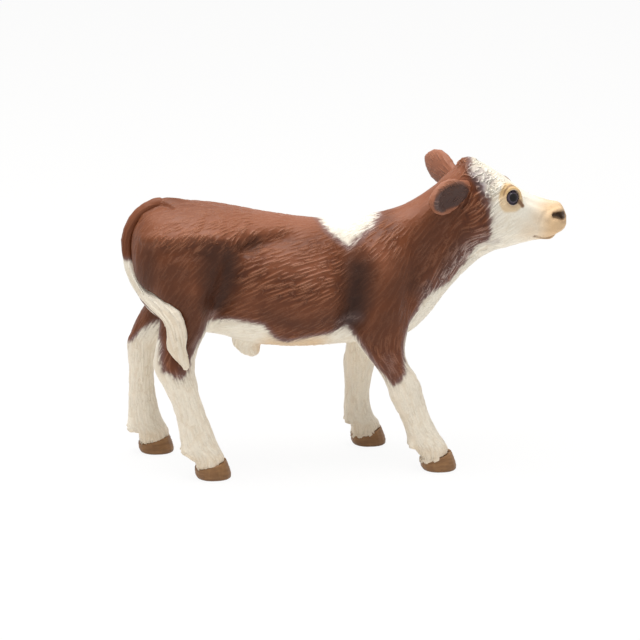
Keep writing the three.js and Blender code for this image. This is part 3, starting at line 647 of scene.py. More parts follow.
def makeCombTree():
    inputs = ("Geometry", *combing, "Material")
    tree, given = makeGroup("combedHair", "GeometryNodeTree", inputs, ("Geometry",))
    skin = given["Geometry"]

    def make(kind, output, inputs=None, **settings):
        return get(tree, "GeometryNode" + kind, output, inputs, **settings)

    def named(name, kind="FLOAT"):
        return make("InputNamedAttribute", "Attribute", {"Name": name}, data_type=kind)

    def store(geometry, name, value, kind="FLOAT"):
        inputs = {"Geometry": geometry, "Name": name, "Value": value}
        return make("StoreNamedAttribute", "Geometry", inputs, data_type=kind)

    def nearest(mesh, value, kind="FLOAT"):
        return make("SampleNearestSurface", "Value", {"Mesh": mesh, "Value": value}, data_type=kind)

    def repeat(inputs):
        start, end = addNode(tree, "GeometryNodeRepeatInput"), addNode(tree, "GeometryNodeRepeatOutput")
        start.pair_with_output(end)
        fill(start, inputs)
        return valuesOf(start), end

    def ribbonsOf(strokes):
        ends = {"Start": (-combForm["thread"], 0, 0), "End": (combForm["thread"], 0, 0)}
        thread = make("CurvePrimitiveLine", "Curve", ends)
        return make("CurveToMesh", "Mesh", {"Curve": strokes, "Profile Curve": thread})

    fineness = named("hairLength").scaled(*combForm["fineness"])

    def crowded(strokes, share):  # 1 where a stroke is nearer than the room that each needs
        inputs = {"Geometry": ribbonsOf(strokes)}
        near = valuesOf(addNode(tree, "GeometryNodeProximity", inputs, target_element="FACES"))
        return near["Distance"].maths("LESS_THAN", given["Room"] * fineness * share) * near["Is Valid"]

    position = make("InputPosition", 0)
    index = make("InputIndex", 0)
    layer, layerEnd = repeat({"Iterations": given["Layers"]})
    grown = layer["Geometry"]
    seed = given["Seed"] + layer["Iteration"] * combForm["layerSeed"]
    free = 1.0 - crowded(grown, 1.0)
    roots = make("DistributePointsOnFaces", "Points", {
        "Mesh": skin, "Distance Min": given["Spread"], "Density Max": combForm["density"],
        "Density Factor": named("hairDepth").ramp(*combForm["bald"]) * free, "Seed": seed,
    }, distribute_method="POISSON")
    chance = get(tree, "FunctionNodeRandomValue", 1, {"ID": index, "Seed": seed}, data_type="FLOAT")
    roots = store(store(store(roots, "lock", index, "INT"), "tone", chance), "stopped", 0.0)
    inputs = {"Geometry": roots, "Amount": combSteps + 1}
    copies = valuesOf(addNode(tree, "GeometryNodeDuplicateElements", inputs, domain="POINT"))
    points = store(copies["Geometry"], "place", copies["Duplicate Index"], "INT")

    step, stepEnd = repeat({"Iterations": combSteps, "Geometry": points})
    further = named("place", "INT").maths("GREATER_THAN", step["Iteration"])
    flow = nearest(skin, named("flow", "FLOAT_VECTOR"), "FLOAT_VECTOR")
    sway = noise(tree, position, *combForm["waves"], "Color").vector("SUBTRACT", (0.5, 0.5, 0.5))
    sway = sway.vector("SCALE", given["Wander"] * combForm["sway"])
    way = flow.vector("ADD", sway).vector("NORMALIZE")
    pace = named("tone").scaled(*combForm["pace"]) * named("hairLength") * (1 / combSteps)
    pace = given["Length"] * pace
    inputs = {"Geometry": step["Geometry"], "Selection": further, "Offset": way.vector("SCALE", pace)}
    moved = make("SetPosition", "Geometry", inputs)
    onSkin = make("Proximity", "Position", {"Geometry": skin}, target_element="FACES")
    moved = make("SetPosition", "Geometry", {"Geometry": moved, "Selection": further, "Position": onSkin})
    stopping = crowded(grown, combForm["later"]) * further
    fill(stepEnd, {"Geometry": store(moved, "stopped", named("stopped").maths("MAXIMUM", stopping))})

    inputs = {"Geometry": Value(stepEnd.outputs["Geometry"]), "Selection": named("stopped")}
    whole = make("DeleteGeometry", "Geometry", inputs, domain="POINT")
    inputs = {"Points": whole, "Curve Group ID": named("lock", "INT"), "Weight": named("place", "INT")}
    strokes = make("PointsToCurves", "Curves", inputs)
    short = make("SplineLength", "Point Count").maths("LESS_THAN", combForm["shortest"])
    strokes = make("DeleteGeometry", "Geometry", {"Geometry": strokes, "Selection": short}, domain="CURVE")
    joined = addNode(tree, "GeometryNodeJoinGeometry", {0: strokes})
    fill(joined, {0: grown})
    fill(layerEnd, {"Geometry": Value(joined.outputs[0])})

    strokes = store(Value(layerEnd.outputs["Geometry"]), "along", make("SplineParameter", "Factor"))
    ribbons = ribbonsOf(store(strokes, "way", make("InputTangent", 0), "FLOAT_VECTOR"))
    foot = nearest(ribbons, position, "FLOAT_VECTOR")
    along = nearest(ribbons, named("along"))
    tone = nearest(ribbons, named("tone"))
    direction = nearest(ribbons, named("way", "FLOAT_VECTOR"), "FLOAT_VECTOR")
    normal = make("InputNormal", 0)
    beside = position.vector("SUBTRACT", foot)
    sideways = beside.vector("DOT_PRODUCT", normal.vector("CROSS_PRODUCT", direction))
    gap = beside.vector("LENGTH")
    inputs = {"X": sideways * (1 / mm), "Y": gap * (1 / mm), "Z": along}
    stroke = get(tree, "ShaderNodeCombineXYZ", 0, inputs)
    taper = along.ramp(*combForm["root"]) * along.ramp(*combForm["tip"])
    apart = gap / (given["Width"] * fineness * taper)
    ridge = (1.0 - apart * apart).maths("MAXIMUM", 0.0)
    height = ridge * (along.ramp(*combForm["swell"]) * tone.scaled(*combForm["tones"]))
    lift = (height - combForm["sunk"]) * (given["Depth"] * named("hairDepth"))
    coat = store(skin, "stroke", stroke, "FLOAT_VECTOR")
    coat = store(store(coat, "strokeTone", tone), "furHeight", height)
    coat = make("SetPosition", "Geometry", {"Geometry": coat, "Offset": normal.vector("SCALE", lift)})
    coat = make("RealizeInstances", "Geometry", {"Geometry": coat})
    coat = make("SetMaterial", "Geometry", {"Geometry": coat, "Material": given["Material"]})
    addNode(tree, "NodeGroupOutput", {"Geometry": coat})
    return tree


combTree = makeCombTree()


def comb(piece, material, **changes):
    values = dict(combing, Material=material, **changes)
    sockets = [socket for socket in combTree.interface.items_tree if socket.in_out == "INPUT"]
    given = [(socket.identifier, values[socket.name]) for socket in sockets if socket.name in values]
    modify(piece, "NODES", {"node_group": combTree}, given)
    smoothShade(piece.data)


# Paint: outlines and strokes are drawn on the side view of the right flank, in x and z, and hold for both

brownOutline = [
    (27.2, 75), (27.1, 66.4), (26.4, 65), (26.4, 64), (27.8, 62.7), (28.6, 60.7), (29.9, 59), (30.4, 54.9),
    (30.6, 51.1), (29.9, 49), (28, 48.3), (27.4, 47.9), (25.4, 44.4), (22.3, 39.9), (19.1, 39.3),
    (15.8, 37.6), (14.2, 33.8), (12.6, 31.5), (11.6, 28), (11.5, 26.8), (11.7, 22.2), (8.9, 19.1), (5.6, 23),
    (3.6, 26), (2.1, 28.1), (0.4, 30.8), (-0.9, 32.5), (-2.5, 31.9), (-4.2, 31.2), (-9.1, 30.1),
    (-13.1, 28.6), (-15.3, 29.2), (-16.7, 30.6), (-18.7, 33.2), (-21.9, 33.9), (-25.3, 34.4), (-28.2, 34.2),
    (-30.4, 33.8), (-31.6, 31.8), (-32.8, 29.4), (-34.1, 26.8), (-35.0, 23.8), (-36.9, 22.2), (-38.4, 23.4),
    (-40.2, 24.2), (-40.7, 26), (-40.6, 29.4), (-41.1, 31.9), (-41.5, 35.5), (-44, 36.5), (-60, 38),
    (-60, 75),
]
farHockEdge = [(-48, 23.6), (-46.6, 25.2), (-44.2, 28.1), (-41.4, 30.8), (-37, 33.6)]  # brown above it
hockReach = [(24, 30, 34), (10.5, 9, 14)]  # heights, and how far out from the middle that holds
withersOutline = [(-6.0, 54.6), (-5.0, 53.2), (-3.4, 51.6), (-1.7, 50.2), (-0.2, 49.2), (1.6, 50.6),
                  (3.4, 52.2), (5.2, 53.2), (7.2, 55), (7.2, 60), (-6.0, 60)]
innerLegEdges = {  # z and how far out from the middle the brown of a leg starts
    "fore": [(0, 9.6), (24, 9.4), (29, 8.2), (32, 5.0), (35, -2), (40, -8)],
    "hind": [(0, 9.8), (24, 9.0), (25.6, 8.1), (28.9, 5.6), (31.6, 3.8), (34, -2), (40, -8)],
}
shadeStrokes = [  # path, reach, strength: darker brown sprayed on softly, partly the figure's own airbrushing and partly painted shade in the hollows and creases of the flank, loin, shoulder, thigh and neck, under the ear and along the edge of the face
    ([(-26.4, 48.6), (-26.2, 44), (-27.2, 40.6), (-28.4, 38)], 4.8, 0.85),
    ([(-29.6, 48.4), (-29.4, 43), (-30.2, 39)], 6.4, 0.8),
    ([(1.6, 44.6), (1.2, 41), (0.8, 37), (-0.4, 34)], 6.4, 1.0),
    ([(1.4, 47), (1.2, 40)], 4.0, 0.6),
    ([(-24.0, 50.2), (-20, 50.8)], 2.4, 0.6),
    ([(22, 57.0), (19, 52.0), (15.6, 46.8), (13.6, 41)], 5.4, 0.6),
    ([(24.4, 51), (20.6, 44.6)], 4.2, 0.4),
    ([(-38, 44), (-36, 38), (-35, 31)], 8.5, 0.5),
    ([(-18, 35.5), (-10, 32.6), (-4, 35)], 3.6, 0.4),
    ([(-42.5, 48), (-43.5, 42)], 4.0, 0.6),
    ([(-42, 49.4), (-35, 49.8), (-29.5, 49.8)], 3.0, 0.15),
    ([(5, 31), (9, 38), (11, 44)], 6.5, 0.4),
    ([(-33, 33), (-37.5, 27)], 4.0, 0.35),
    ([(28.4, 59.5), (29.2, 55), (29.2, 51)], 1.7, 0.25),
    ([(26.4, 64.0), (27.2, 62.8), (27.9, 61.4), (28.7, 60.0)], 1.1, 0.85),
]
# painted highlight: paler brown where the light from above falls, along the back, the top of the neck, the
# shoulder and the thigh
paintedHighlightStrokes = [
    ([(-40, 55), (-25, 55), (-8, 54.5)], 4.5, 0.8),
    ([(-16, 47.5), (-8, 46)], 4.5, 0.6),
    ([(12, 55), (20, 60), (24, 64)], 3.6, 0.7),
    ([(5, 50), (8, 45)], 3.4, 0.5),
    ([(-37, 45), (-34, 42)], 3.5, 0.2),
]
frostStrokes = [  # pale lilac tips on the brown hair that meets the white
    ([(28.4, 49.6), (25, 46.6), (21.6, 42.0), (17, 38.6)], 4.2, 0.75),
    ([(1.4, 34.6), (-2.4, 33.6)], 2.2, 0.6),
    ([(-29.6, 35.4), (-31.6, 32), (-33.4, 28.6), (-35.0, 25), (-37, 23)], 2.4, 0.8),
    ([(26.2, 64), (27.8, 61.6), (29.6, 57)], 1.2, 0.6),
    ([(8.6, 21), (8.0, 25)], 3.0, 0.4),
]

muzzleSprays = [  # points on the right side, about the middle: x, y, z, reach, strength
    (45.5, -3.6, 52.0, 5.6, 0.75), (46.8, 0, 51.6, 5.0, 0.75), (44.5, -1, 48.4, 4.2, 0.7),
    (39.8, -5.6, 50.8, 5.0, 0.35), (42.0, -5.0, 53.6, 5.0, 0.45), (46.3, -1.5, 55.4, 2.6, 0.6),
    (44.8, -4.2, 55.0, 2.6, 0.75),
]
washAndShadeSprays = [  # a grey-violet wash in the white, partly the figure's own wash and partly painted shade in the forelock's curls, under the jaw and on the throat
    (28.3, -4.9, 64.2, 3.0, 0.5), (29.4, -5.9, 62.8, 2.8, 0.6), (28.0, -6.3, 61.2, 2.4, 0.9),
    (28.7, -7.0, 59.5, 2.0, 0.7), (26.9, -5.0, 63.4, 1.6, 0.7), (29.8, -7.4, 57.6, 1.6, 0.4),
    (31.5, -7.0, 54.6, 2.4, 0.2), (31.5, -5.6, 49.4, 2.6, 0.3), (36, 0, 46.8, 4.0, 0.4),
]
sprayCore = 0.3
tanForm = {  # each fade as from, to and strength
    "bellyPath": [(-16, 26.5), (-8, 27.5)], "belly": (6, 0.5, 0.7), "bellyBefore": -2, "bellyBelow": 32,
    "ankle": (7.5, 4.5, 0.25), "shin": (30, 24, 0.12), "nose": (38, 44.5, 0.8), "noseTop": (58.5, 55.5),
}
lineForm = {"hole": (1.05, 0.55, 0.85), "wing": (1.7, 0.9, 0.4), "mouth": (0.6, 0.15, 0.7)}
lidForm = {
    "reach": 4.5, "outside": 50, "ring": (1.6, 1.35), "ringDark": 0.22, "lid": (3.0, 2.4),
    "wider": (0, 2, 0.5), "low": 0.65, "high": (-1, 1, 0.25), "leftTop": (1.4, 2.2, 0.6),
    "bag": (2.4, 1.6, 0.4), "bagBelow": (0.2, -1.6), "fold": (2.25, 0.2, 0.85), "foldAbove": (-0.4, 0.6),
    "corner": (0.75, 0.3), "cornerPath": [(1.35, 1.5, -0.3), (2.45, 0.8, -1.6)],  # from the eye's middle
}
legZones = {  # by x, and by height where it says below or top
    "hind": (-22, -28), "fore": (-6, -1), "below": (39, 33),  # where the paint follows the left legs
    "overHind": (-24, -28), "overFore": (-4, 0), "beforeFore": (30, 24),  # where the inner sides are white
    "least": 0.02, "beyond": 12, "hockTop": 42, "hockBehind": -37,
}
# light is a painted highlight and shade painted shade over the figure's airbrushing; the grey-violet wash is
# partly painted shade; dark is the figure's own dark paint, and painted shade by the eyes and in the ears;
# line is the figure's own painted lines, and painted shade under the eyes
paintMasks = ("white", "shade", "light", "frost", "tan", "washAndShade", "dark", "lid", "line")


def putPaint(mesh, **masks):
    for name in paintMasks:
        putAttribute(mesh, name, masks.get(name, np.zeros(len(mesh.vertices))))


def spray(places, strokes, core=0):
    total = np.zeros(len(places))
    for path, reach, strength in strokes:
        away = alongPath(places, path)[0] if len(path) > 1 else distance(places, path[0])
        total = np.maximum(total, strength * ease(reach, core, away))
    return total


def paintCoat(mesh):
    points = pointsOf(mesh)
    x, y, z = points.T
    left, hind = y >= middleY, x < shoulderX
    out = np.abs(y - middleY)
    shifts = [legX("right" + leg, z) - legX("left" + leg, z) for leg in ("_hind_leg", "_foreleg")]
    near = np.where(hind, fade(x, *legZones["hind"]), fade(x, *legZones["fore"]))
    sideX = x + np.where(hind, *shifts) * near * left * fade(z, *legZones["below"])
    places = np.stack([sideX, z], 1)
    brown = outlineDistance(places, brownOutline)
    edge = np.where(hind, *(np.interp(z, *np.array(innerLegEdges[end]).T) for end in ("hind", "fore")))
    overFore = fade(sideX, *legZones["overFore"]) * fade(sideX, *legZones["beforeFore"])
    overLeg = np.where(hind, fade(sideX, *legZones["overHind"]), overFore)
    inner = np.minimum(brown, (out - edge) + legZones["beyond"] * (1 - overLeg))
    brown = np.where(overLeg > legZones["least"], inner, brown)
    hock = np.minimum(z - np.interp(x, *np.array(farHockEdge).T), np.interp(z, *hockReach) - out)
    onHock = left & (z < legZones["hockTop"]) & (x < legZones["hockBehind"])
    brown = np.where(onHock, np.maximum(brown, hock), brown)
    white = np.maximum(-brown, outlineDistance(places, withersOutline))
    # painted shade, painted highlight, and the figure's own pale tips by the white
    sprays = {"shade": shadeStrokes, "light": paintedHighlightStrokes, "frost": frostStrokes}
    sprays = {name: spray(places, strokes) for name, strokes in sprays.items()}
    putPaint(mesh, white=white, **sprays, **facePaint(points, out))


def facePaint(points, out):
    x, _, z = points.T
    mirrored = np.stack([x, -out, z], 1)
    tan, washAndShade = (spray(mirrored, [([place], reach, strength) for *place, reach, strength in dots], sprayCore)
                 for dots in (muzzleSprays, washAndShadeSprays))
    belly = fade(alongPath(points[:, [0, 2]], tanForm["bellyPath"])[0], *tanForm["belly"])
    belly = belly * (x < tanForm["bellyBefore"]) * (z < tanForm["bellyBelow"])
    nose = fade(x, *tanForm["nose"]) * fade(z, *tanForm["noseTop"])
    tan = np.max([tan, belly, nose, fade(z, *tanForm["ankle"]), fade(z, *tanForm["shin"])], axis=0)
    hole = nostrilGap(mirrored) + nostril["outside"] * (x < nostril["after"])
    dark = fade(hole, *lineForm["hole"])
    mouth = fade(alongPath(mirrored, mouthPath)[0], *lineForm["mouth"])
    line = np.maximum(fade(hole, *lineForm["wing"]), mouth)
    lid = np.zeros(len(points))
    for centre in (rightEye, leftEye):
        sign = math.copysign(1, centre[1] - middleY)
        _, _, away, rise = eyePlace(points, centre)
        away = away + lidForm["outside"] * (distance(points, centre) > lidForm["reach"])
        ring = fade(away, *lidForm["ring"])  # painted shade of the lid's inner rim, grey-violet and a little dark, close around the ball
        dark = np.maximum(dark, lidForm["ringDark"] * ring)
        washAndShade = np.maximum(washAndShade, ring)
        reach = away - fade(centre[0] - x, *lidForm["wider"])
        # the lid's tan is weaker on its lower half, and the bag under the eye is painted shade on the lower
        # lid
        around = fade(reach, *lidForm["lid"]) * (lidForm["low"] + fade(rise, *lidForm["high"])) * (1 - ring)
        lid = np.maximum(lid, around * (1 - fade(rise, *lidForm["leftTop"]) * (sign > 0)))
        bag = fade(away, *lidForm["bag"]) * fade(rise, *lidForm["bagBelow"]) * (1 - ring)
        middle, width, strength = lidForm["fold"]
        fold = strength * (np.exp(-((away - middle) / width) ** 2) * fade(rise, *lidForm["foldAbove"]))
        corner = alongPath(points, centre + np.array(lidForm["cornerPath"]) * (1, sign, 1))[0]
        line = np.max([line, bag, fold, fade(corner, *lidForm["corner"])], axis=0)
    return {"tan": tan, "washAndShade": washAndShade, "dark": dark, "lid": lid, "line": line}


# Shader groups, each built once


def attribute(tree, name, output="Fac"):
    return get(tree, "ShaderNodeAttribute", output, attribute_name=name)


def objectPlace(tree):
    return get(tree, "ShaderNodeTexCoord", "Object")


def useGroup(tree, group, **inputs):
    return valuesOf(addNode(tree, "ShaderNodeGroup", inputs, node_tree=group))


edgeForm = {"grain": (900.0, 3.0), "fine": 2.0, "tones": 1.6, "locks": 0.9}
toneForm = {
    "side": (0.34, 0.2), "root": (0.0, 0.25), "tip": (1.0, 0.7), "low": 0.3, "locks": 0.35, "tones": 0.2,
}
grainForm = {"cloud": 4.0, "speck": 9.0, "speckDetail": 2.0, "roughness": 0.47, "heights": (0.4, 0.6)}


def makeStrokeEdge():  # a paint edge that breaks up along the locks of hair
    group, given = makeGroup("strokeEdge", "ShaderNodeTree", ("Edge", "Feather", "Softness"), ("Mask",))
    fine = noise(group, objectPlace(group), *edgeForm["grain"]) - 0.5
    locks = (attribute(group, "furHeight") - 0.5) * edgeForm["locks"]
    ragged = fine.scaled(edgeForm["fine"], locks)
    ragged = (attribute(group, "strokeTone") - 0.5).scaled(edgeForm["tones"], ragged)
    edge = ragged.scaled(given["Feather"], given["Edge"])
    addNode(group, "NodeGroupOutput", {"Mask": edge.ramp(given["Softness"] * -1.0, given["Softness"])})
    return group


def makeHairTone():  # one thin bright crest along each lock, fading to its tip, over a softer light and dark: a painted highlight on each crest, partly the figure's own dry-brushing, and painted shade in the grooves between the locks, over a random tone for each lock
    group, given = makeGroup("hairTone", "ShaderNodeTree", ("Crest", "Width"), ("Tone", "Crest"))
    depth = attribute(group, "hairDepth")
    stroke = addNode(group, "ShaderNodeSeparateXYZ", {"Vector": attribute(group, "stroke", "Vector")})
    beside, gap, along = valuesOf(stroke).values()
    across = beside / given["Width"]
    line = (across * across * -1.0).maths("EXPONENT") * gap.ramp(*toneForm["side"])
    ends = along.ramp(*toneForm["root"]) * along.ramp(*toneForm["tip"])
    line = line * ends * (depth * given["Crest"])
    soft = (attribute(group, "furHeight") - toneForm["low"]) * toneForm["locks"]
    tone = (attribute(group, "strokeTone") - 0.5).scaled(toneForm["tones"], soft) * depth + 0.5
    addNode(group, "NodeGroupOutput", {"Tone": tone, "Crest": line})
    return group


def makePaintGrain():  # the slight unevenness of sprayed and brushed paint on soft vinyl
    outputs = ("Roughness", "Height", "Tint")
    group, given = makeGroup("paintGrain", "ShaderNodeTree", ("Size", "Amount"), outputs)
    place = objectPlace(group)
    scale = maths(group, "DIVIDE", 1.0, given["Size"])
    cloud = noise(group, place, scale, grainForm["cloud"])
    speck = noise(group, place, scale * grainForm["speck"], grainForm["speckDetail"])
    coarse, fine = grainForm["heights"]
    addNode(group, "NodeGroupOutput", {
        "Roughness": (cloud - 0.5).scaled(given["Amount"], grainForm["roughness"]),
        "Height": cloud.scaled(coarse, speck * fine), "Tint": (speck - 0.5) * given["Amount"],
    })
    return group


strokeEdge = makeStrokeEdge()
hairTone = makeHairTone()
paintGrain = makePaintGrain()


def linear(red, green, blue):  # a paint colour as seen, in 0 to 255, to the light that Blender reckons with
    shares = [v / 255 for v in (red, green, blue)]
    return tuple(v / 12.92 if v <= 10 / 255 else ((v + 0.055) / 1.055) ** 2.4 for v in shares) + (1.0,)


coatPaint = {
    # brownLow and whiteLow are painted shade in the grooves between the locks, brownHigh a painted highlight
    # on them
    "brownLow": linear(88, 45, 24), "brown": linear(109, 60, 34), "brownHigh": linear(131, 78, 50),
    # crest: painted highlight along each lock, partly the figure's own dry-brushing and partly the sheen of
    # light on the ridges; light: painted highlight where the light from above falls; shade: painted shade,
    # partly the figure's own airbrushed darker brown
    "crest": linear(172, 122, 96), "shade": linear(52, 27, 16), "light": linear(142, 87, 61),
    "white": linear(240, 234, 220), "whiteLow": linear(222, 212, 194), "washAndShade": linear(142, 130, 142),
    "tan": linear(212, 172, 120), "dark": linear(52, 42, 41), "lid": linear(214, 178, 122),
    "line": linear(132, 100, 74), "border": linear(126, 107, 108), "frost": linear(206, 192, 188),
    "feather": 0.3, "softness": 0.5, "rim": 0.22, "rimReach": 1.5,
    "crestWidth": 0.11, "crestPaint": 0.34, "crestBump": 1.0, "bump": 0.8, "specular": 0.22,
    "frostFrom": -1.3, "frostPaint": 0.8, "frostBase": 0.3, "grainSize": 3 * mm, "grain": 0.2,
    "lowTones": (0.3, 0.5), "highTones": (0.5, 0.85), "whiteTones": (0.3, 0.55), "inShade": (0.2, 0.9),
    "shadeCrest": 0.1, "hollow": (0.0, 0.75, 1.0, 0.2), "grainHeight": 0.2,
}


def startMaterial(name, slotColour):
    material = bpy.data.materials.new(name)
    material.use_nodes = True
    material.diffuse_color = slotColour
    tree = material.node_tree
    return material, tree, tree.nodes["Principled BSDF"]


bumpDepth = 0.1 * mm


def dress(tree, surface, colour, grain, relief, paint):
    inputs = {"Height": relief, "Strength": paint["bump"], "Distance": bumpDepth}
    normal = get(tree, "ShaderNodeBump", "Normal", inputs)
    fill(surface, {"Base Color": colour, "Roughness": grain["Roughness"], "Normal": normal,
                   "Specular IOR Level": paint["specular"]})


def makeCoatMaterial(name, **changes):
    paint = dict(coatPaint, **changes)
    material, tree, surface = startMaterial(name, paint["brown"])
    masks = {mask: attribute(tree, mask) for mask in paintMasks}
    hair = useGroup(tree, hairTone, Crest=paint["crestBump"], Width=paint["crestWidth"])
    grain = useGroup(tree, paintGrain, Size=paint["grainSize"], Amount=paint["grain"])
    inputs = {"Edge": masks["white"], "Feather": paint["feather"], "Softness": paint["softness"]}
    edge = useGroup(tree, strokeEdge, **inputs)
    tone, crest = hair["Tone"], hair["Crest"]
    low = tone.ramp(*paint["lowTones"]).mix(paint["brownLow"], paint["brown"])
    brown = tone.ramp(*paint["highTones"]).mix(low, paint["brownHigh"])
    # the painted highlight and the painted shade go over the brown
    for mask in ("light", "shade"):
        brown = masks[mask].mix(brown, paint[mask])
    nearWhite = masks["white"].ramp(paint["frostFrom"], 0.0).maths("MAXIMUM", masks["frost"])
    brown = (nearWhite * paint["frostBase"]).mix(brown, paint["border"])
    # the crests' painted highlight is weaker in the painted shade
    strength = masks["shade"].ramp(*paint["inShade"], paint["crestPaint"], paint["shadeCrest"])
    strength = strength.maths("MAXIMUM", nearWhite * paint["frostPaint"])
    brown = (crest * strength).mix(brown, nearWhite.mix(paint["crest"], paint["frost"]))
    white = tone.ramp(*paint["whiteTones"]).mix(paint["whiteLow"], paint["white"])
    white = masks["tan"].mix(white, paint["tan"])
    # the grey-violet wash is deepest in the grooves between the locks, as painted shade there
    hollow = attribute(tree, "furHeight").ramp(*paint["hollow"])
    white = (masks["washAndShade"] * hollow).mix(white, paint["washAndShade"])
    rim = masks["white"].maths("ABSOLUTE").ramp(paint["rimReach"], 0.0, 0.0, paint["rim"]) * hollow
    colour = rim.mix(edge["Mask"].mix(brown, white), paint["border"])
    for mask in ("lid", "line", "dark"):
        colour = masks[mask].mix(colour, paint[mask])
    inputs = {0: 1.0, 6: colour, 7: grain["Tint"] + 1.0}
    colour = get(tree, "ShaderNodeMix", 2, inputs, data_type="RGBA", blend_type="MULTIPLY")
    dress(tree, surface, colour, grain, grain["Height"].scaled(paint["grainHeight"], crest), paint)
    return material


coatMaterial = makeCoatMaterial("calfCoat")
# the ears' painted shade is a grey-brown for the hollow, and their painted highlight a paler brown for the
# rim
earPaint = {"shade": linear(84, 64, 59), "light": linear(156, 102, 78), "crestPaint": 0.4}
earMaterial = makeCoatMaterial("calfEars", **earPaint)
print("materials ready")


# The skin is modelled, combed and painted whole, then parted where the mouldings meet

partings = {"neck": ((21.55, 0, 62.37), (0.918, 0, 0.396)), "fore": 22.45, "hind": 26.95, "hindFrom": -25.9,
            "hindOut": 3.5, "hindTop": 29, "legTop": 30}
pastern = {"from": 6.5, "fade": (5.0, 2.6), "drop": 1.7, "over": 0.16, "under": 0.4, "inside": -1.8,
           "ragged": 0.22, "waves": 9}
pasternEdges = {  # height of the hair's edge on the hoof, at the heel and at the toe
    "right_foreleg": (1.7, 4.0), "left_foreleg": (1.9, 3.6),
    "right_hind_leg": (2.8, 4.0), "left_hind_leg": (2.5, 4.1),
}
fetlocks = dict(zip(lowerLegs, (4.2, 5.4, 4.6, 5.2)))  # height of each fetlock's lower edge
tuft = {"in": 0.1, "rise": 4.5, "over": 2, "foot": (-0.4, 0.1, 0.3), "step": 0.5, "inset": 0.35,
        "behind": (0.5, -2.5)}


def hoofOf(leg):
    return leg.replace("foreleg", "fore_hoof").replace("hind_leg", "hind_hoof")


def legPoints(points, leg, top):
    return (points[:, 2] < top) & onLeg(points, leg)


def modelFetlocks(points, normals):  # the hair behind each fetlock lies close, the pastern under it closer
    for leg, foot in fetlocks.items():
        near = legPoints(points, leg, foot + tuft["rise"] + tuft["over"])
        low = points[near]
        x, _, z = low.T
        heel = boxOf(hoofOf(leg))[0][0] + tuft["inset"]
        below, drawn, full = (foot + step for step in tuft["foot"])
        behind = ease(*tuft["behind"], x - legX(leg, z))
        x += tuft["in"] * ease(foot + tuft["rise"], full, z) * ease(below, foot, z) * behind
        x += np.maximum(heel - x, 0) * ease(drawn, foot - tuft["step"], z)
        points[near] = low
    return points


def coverHooves(points, normals):  # the hair falls over the top of each hoof, down to an uneven edge
    for leg, (heelEdge, toeEdge) in pasternEdges.items():
        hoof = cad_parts[hoofOf(leg)].data
        corners = [v.co / mm for v in hoof.vertices]
        wall = BVHTree.FromPolygons(corners, [tuple(face.vertices) for face in hoof.polygons])
        (heel, _, _), (toe, _, _) = boxOf(hoofOf(leg))
        near = legPoints(points, leg, pastern["from"])
        low = points[near]
        low[:, 2] -= pastern["drop"] * ease(*pastern["fade"], low[:, 2])
        around = np.arctan2(low[:, 1] - low[:, 1].mean(), low[:, 0] - low[:, 0].mean())
        edge = heelEdge + (toeEdge - heelEdge) * np.clip((low[:, 0] - heel) / (toe - heel), 0, 1)
        edge += pastern["ragged"] * np.sin(around * pastern["waves"] + low[:, 2])
        for k, point in enumerate(low):
            place, way, _, _ = wall.find_nearest(Vector(point))
            height = (Vector(point) - place).dot(way)
            if point[2] > edge[k] and pastern["inside"] < height < pastern["over"]:
                low[k] = place + way * pastern["over"]
            elif point[2] <= edge[k] and height > -pastern["under"]:
                low[k] = place - way * pastern["under"]
        points[near] = low
    return points


def makeCoat():
    skin = makeSkin()
    points, normals = pointsOf(skin.data), normalsOf(skin.data)
    for model in (modelBody, modelSheath, modelHead, modelEyes, modelFetlocks, coverHooves):
        points = model(points, normals)
    putPoints(skin.data, points)
    combCoat(skin.data)
    comb(skin, coatMaterial)
    paintCoat(skin.data)
    print("coat combed and painted", len(skin.data.vertices))
    return skin


def bisect(form, point, normal, clear=None, chosen=None):
    faces = [f for f in form.faces if chosen(f.calc_center_median() / mm)] if chosen else list(form.faces)
    around = list({v for f in faces for v in f.verts}) + list({e for f in faces for e in f.edges}) + faces
    bmesh.ops.bisect_plane(form, geom=around, plane_co=Vector(point) * mm, plane_no=Vector(normal),
                           clear_outer=clear == "outer", clear_inner=clear == "inner")


def drop(form, unwanted):
    faces = [f for f in form.faces if unwanted(f.calc_center_median() / mm)]
    bmesh.ops.delete(form, geom=faces, context="FACES")


def behindHind(c):
    return c.x < partings["hindFrom"] and abs(c.y - middleY) > partings["hindOut"]


def closePiece(form, name):
    rims = [e for e in form.edges if e.is_boundary]
    for e in rims:
        e.smooth = False
    caps = bmesh.ops.holes_fill(form, edges=rims, sides=0)["faces"]
    for face in caps:
        face.smooth = False
    bmesh.ops.triangulate(form, faces=caps)
    bmesh.ops.delete(form, geom=[v for v in form.verts if not v.link_faces], context="VERTS")
    mesh = bpy.data.meshes.new(name)
    form.to_mesh(mesh)
    form.free()
    mesh.materials.append(coatMaterial)
    return newObject(name, mesh)


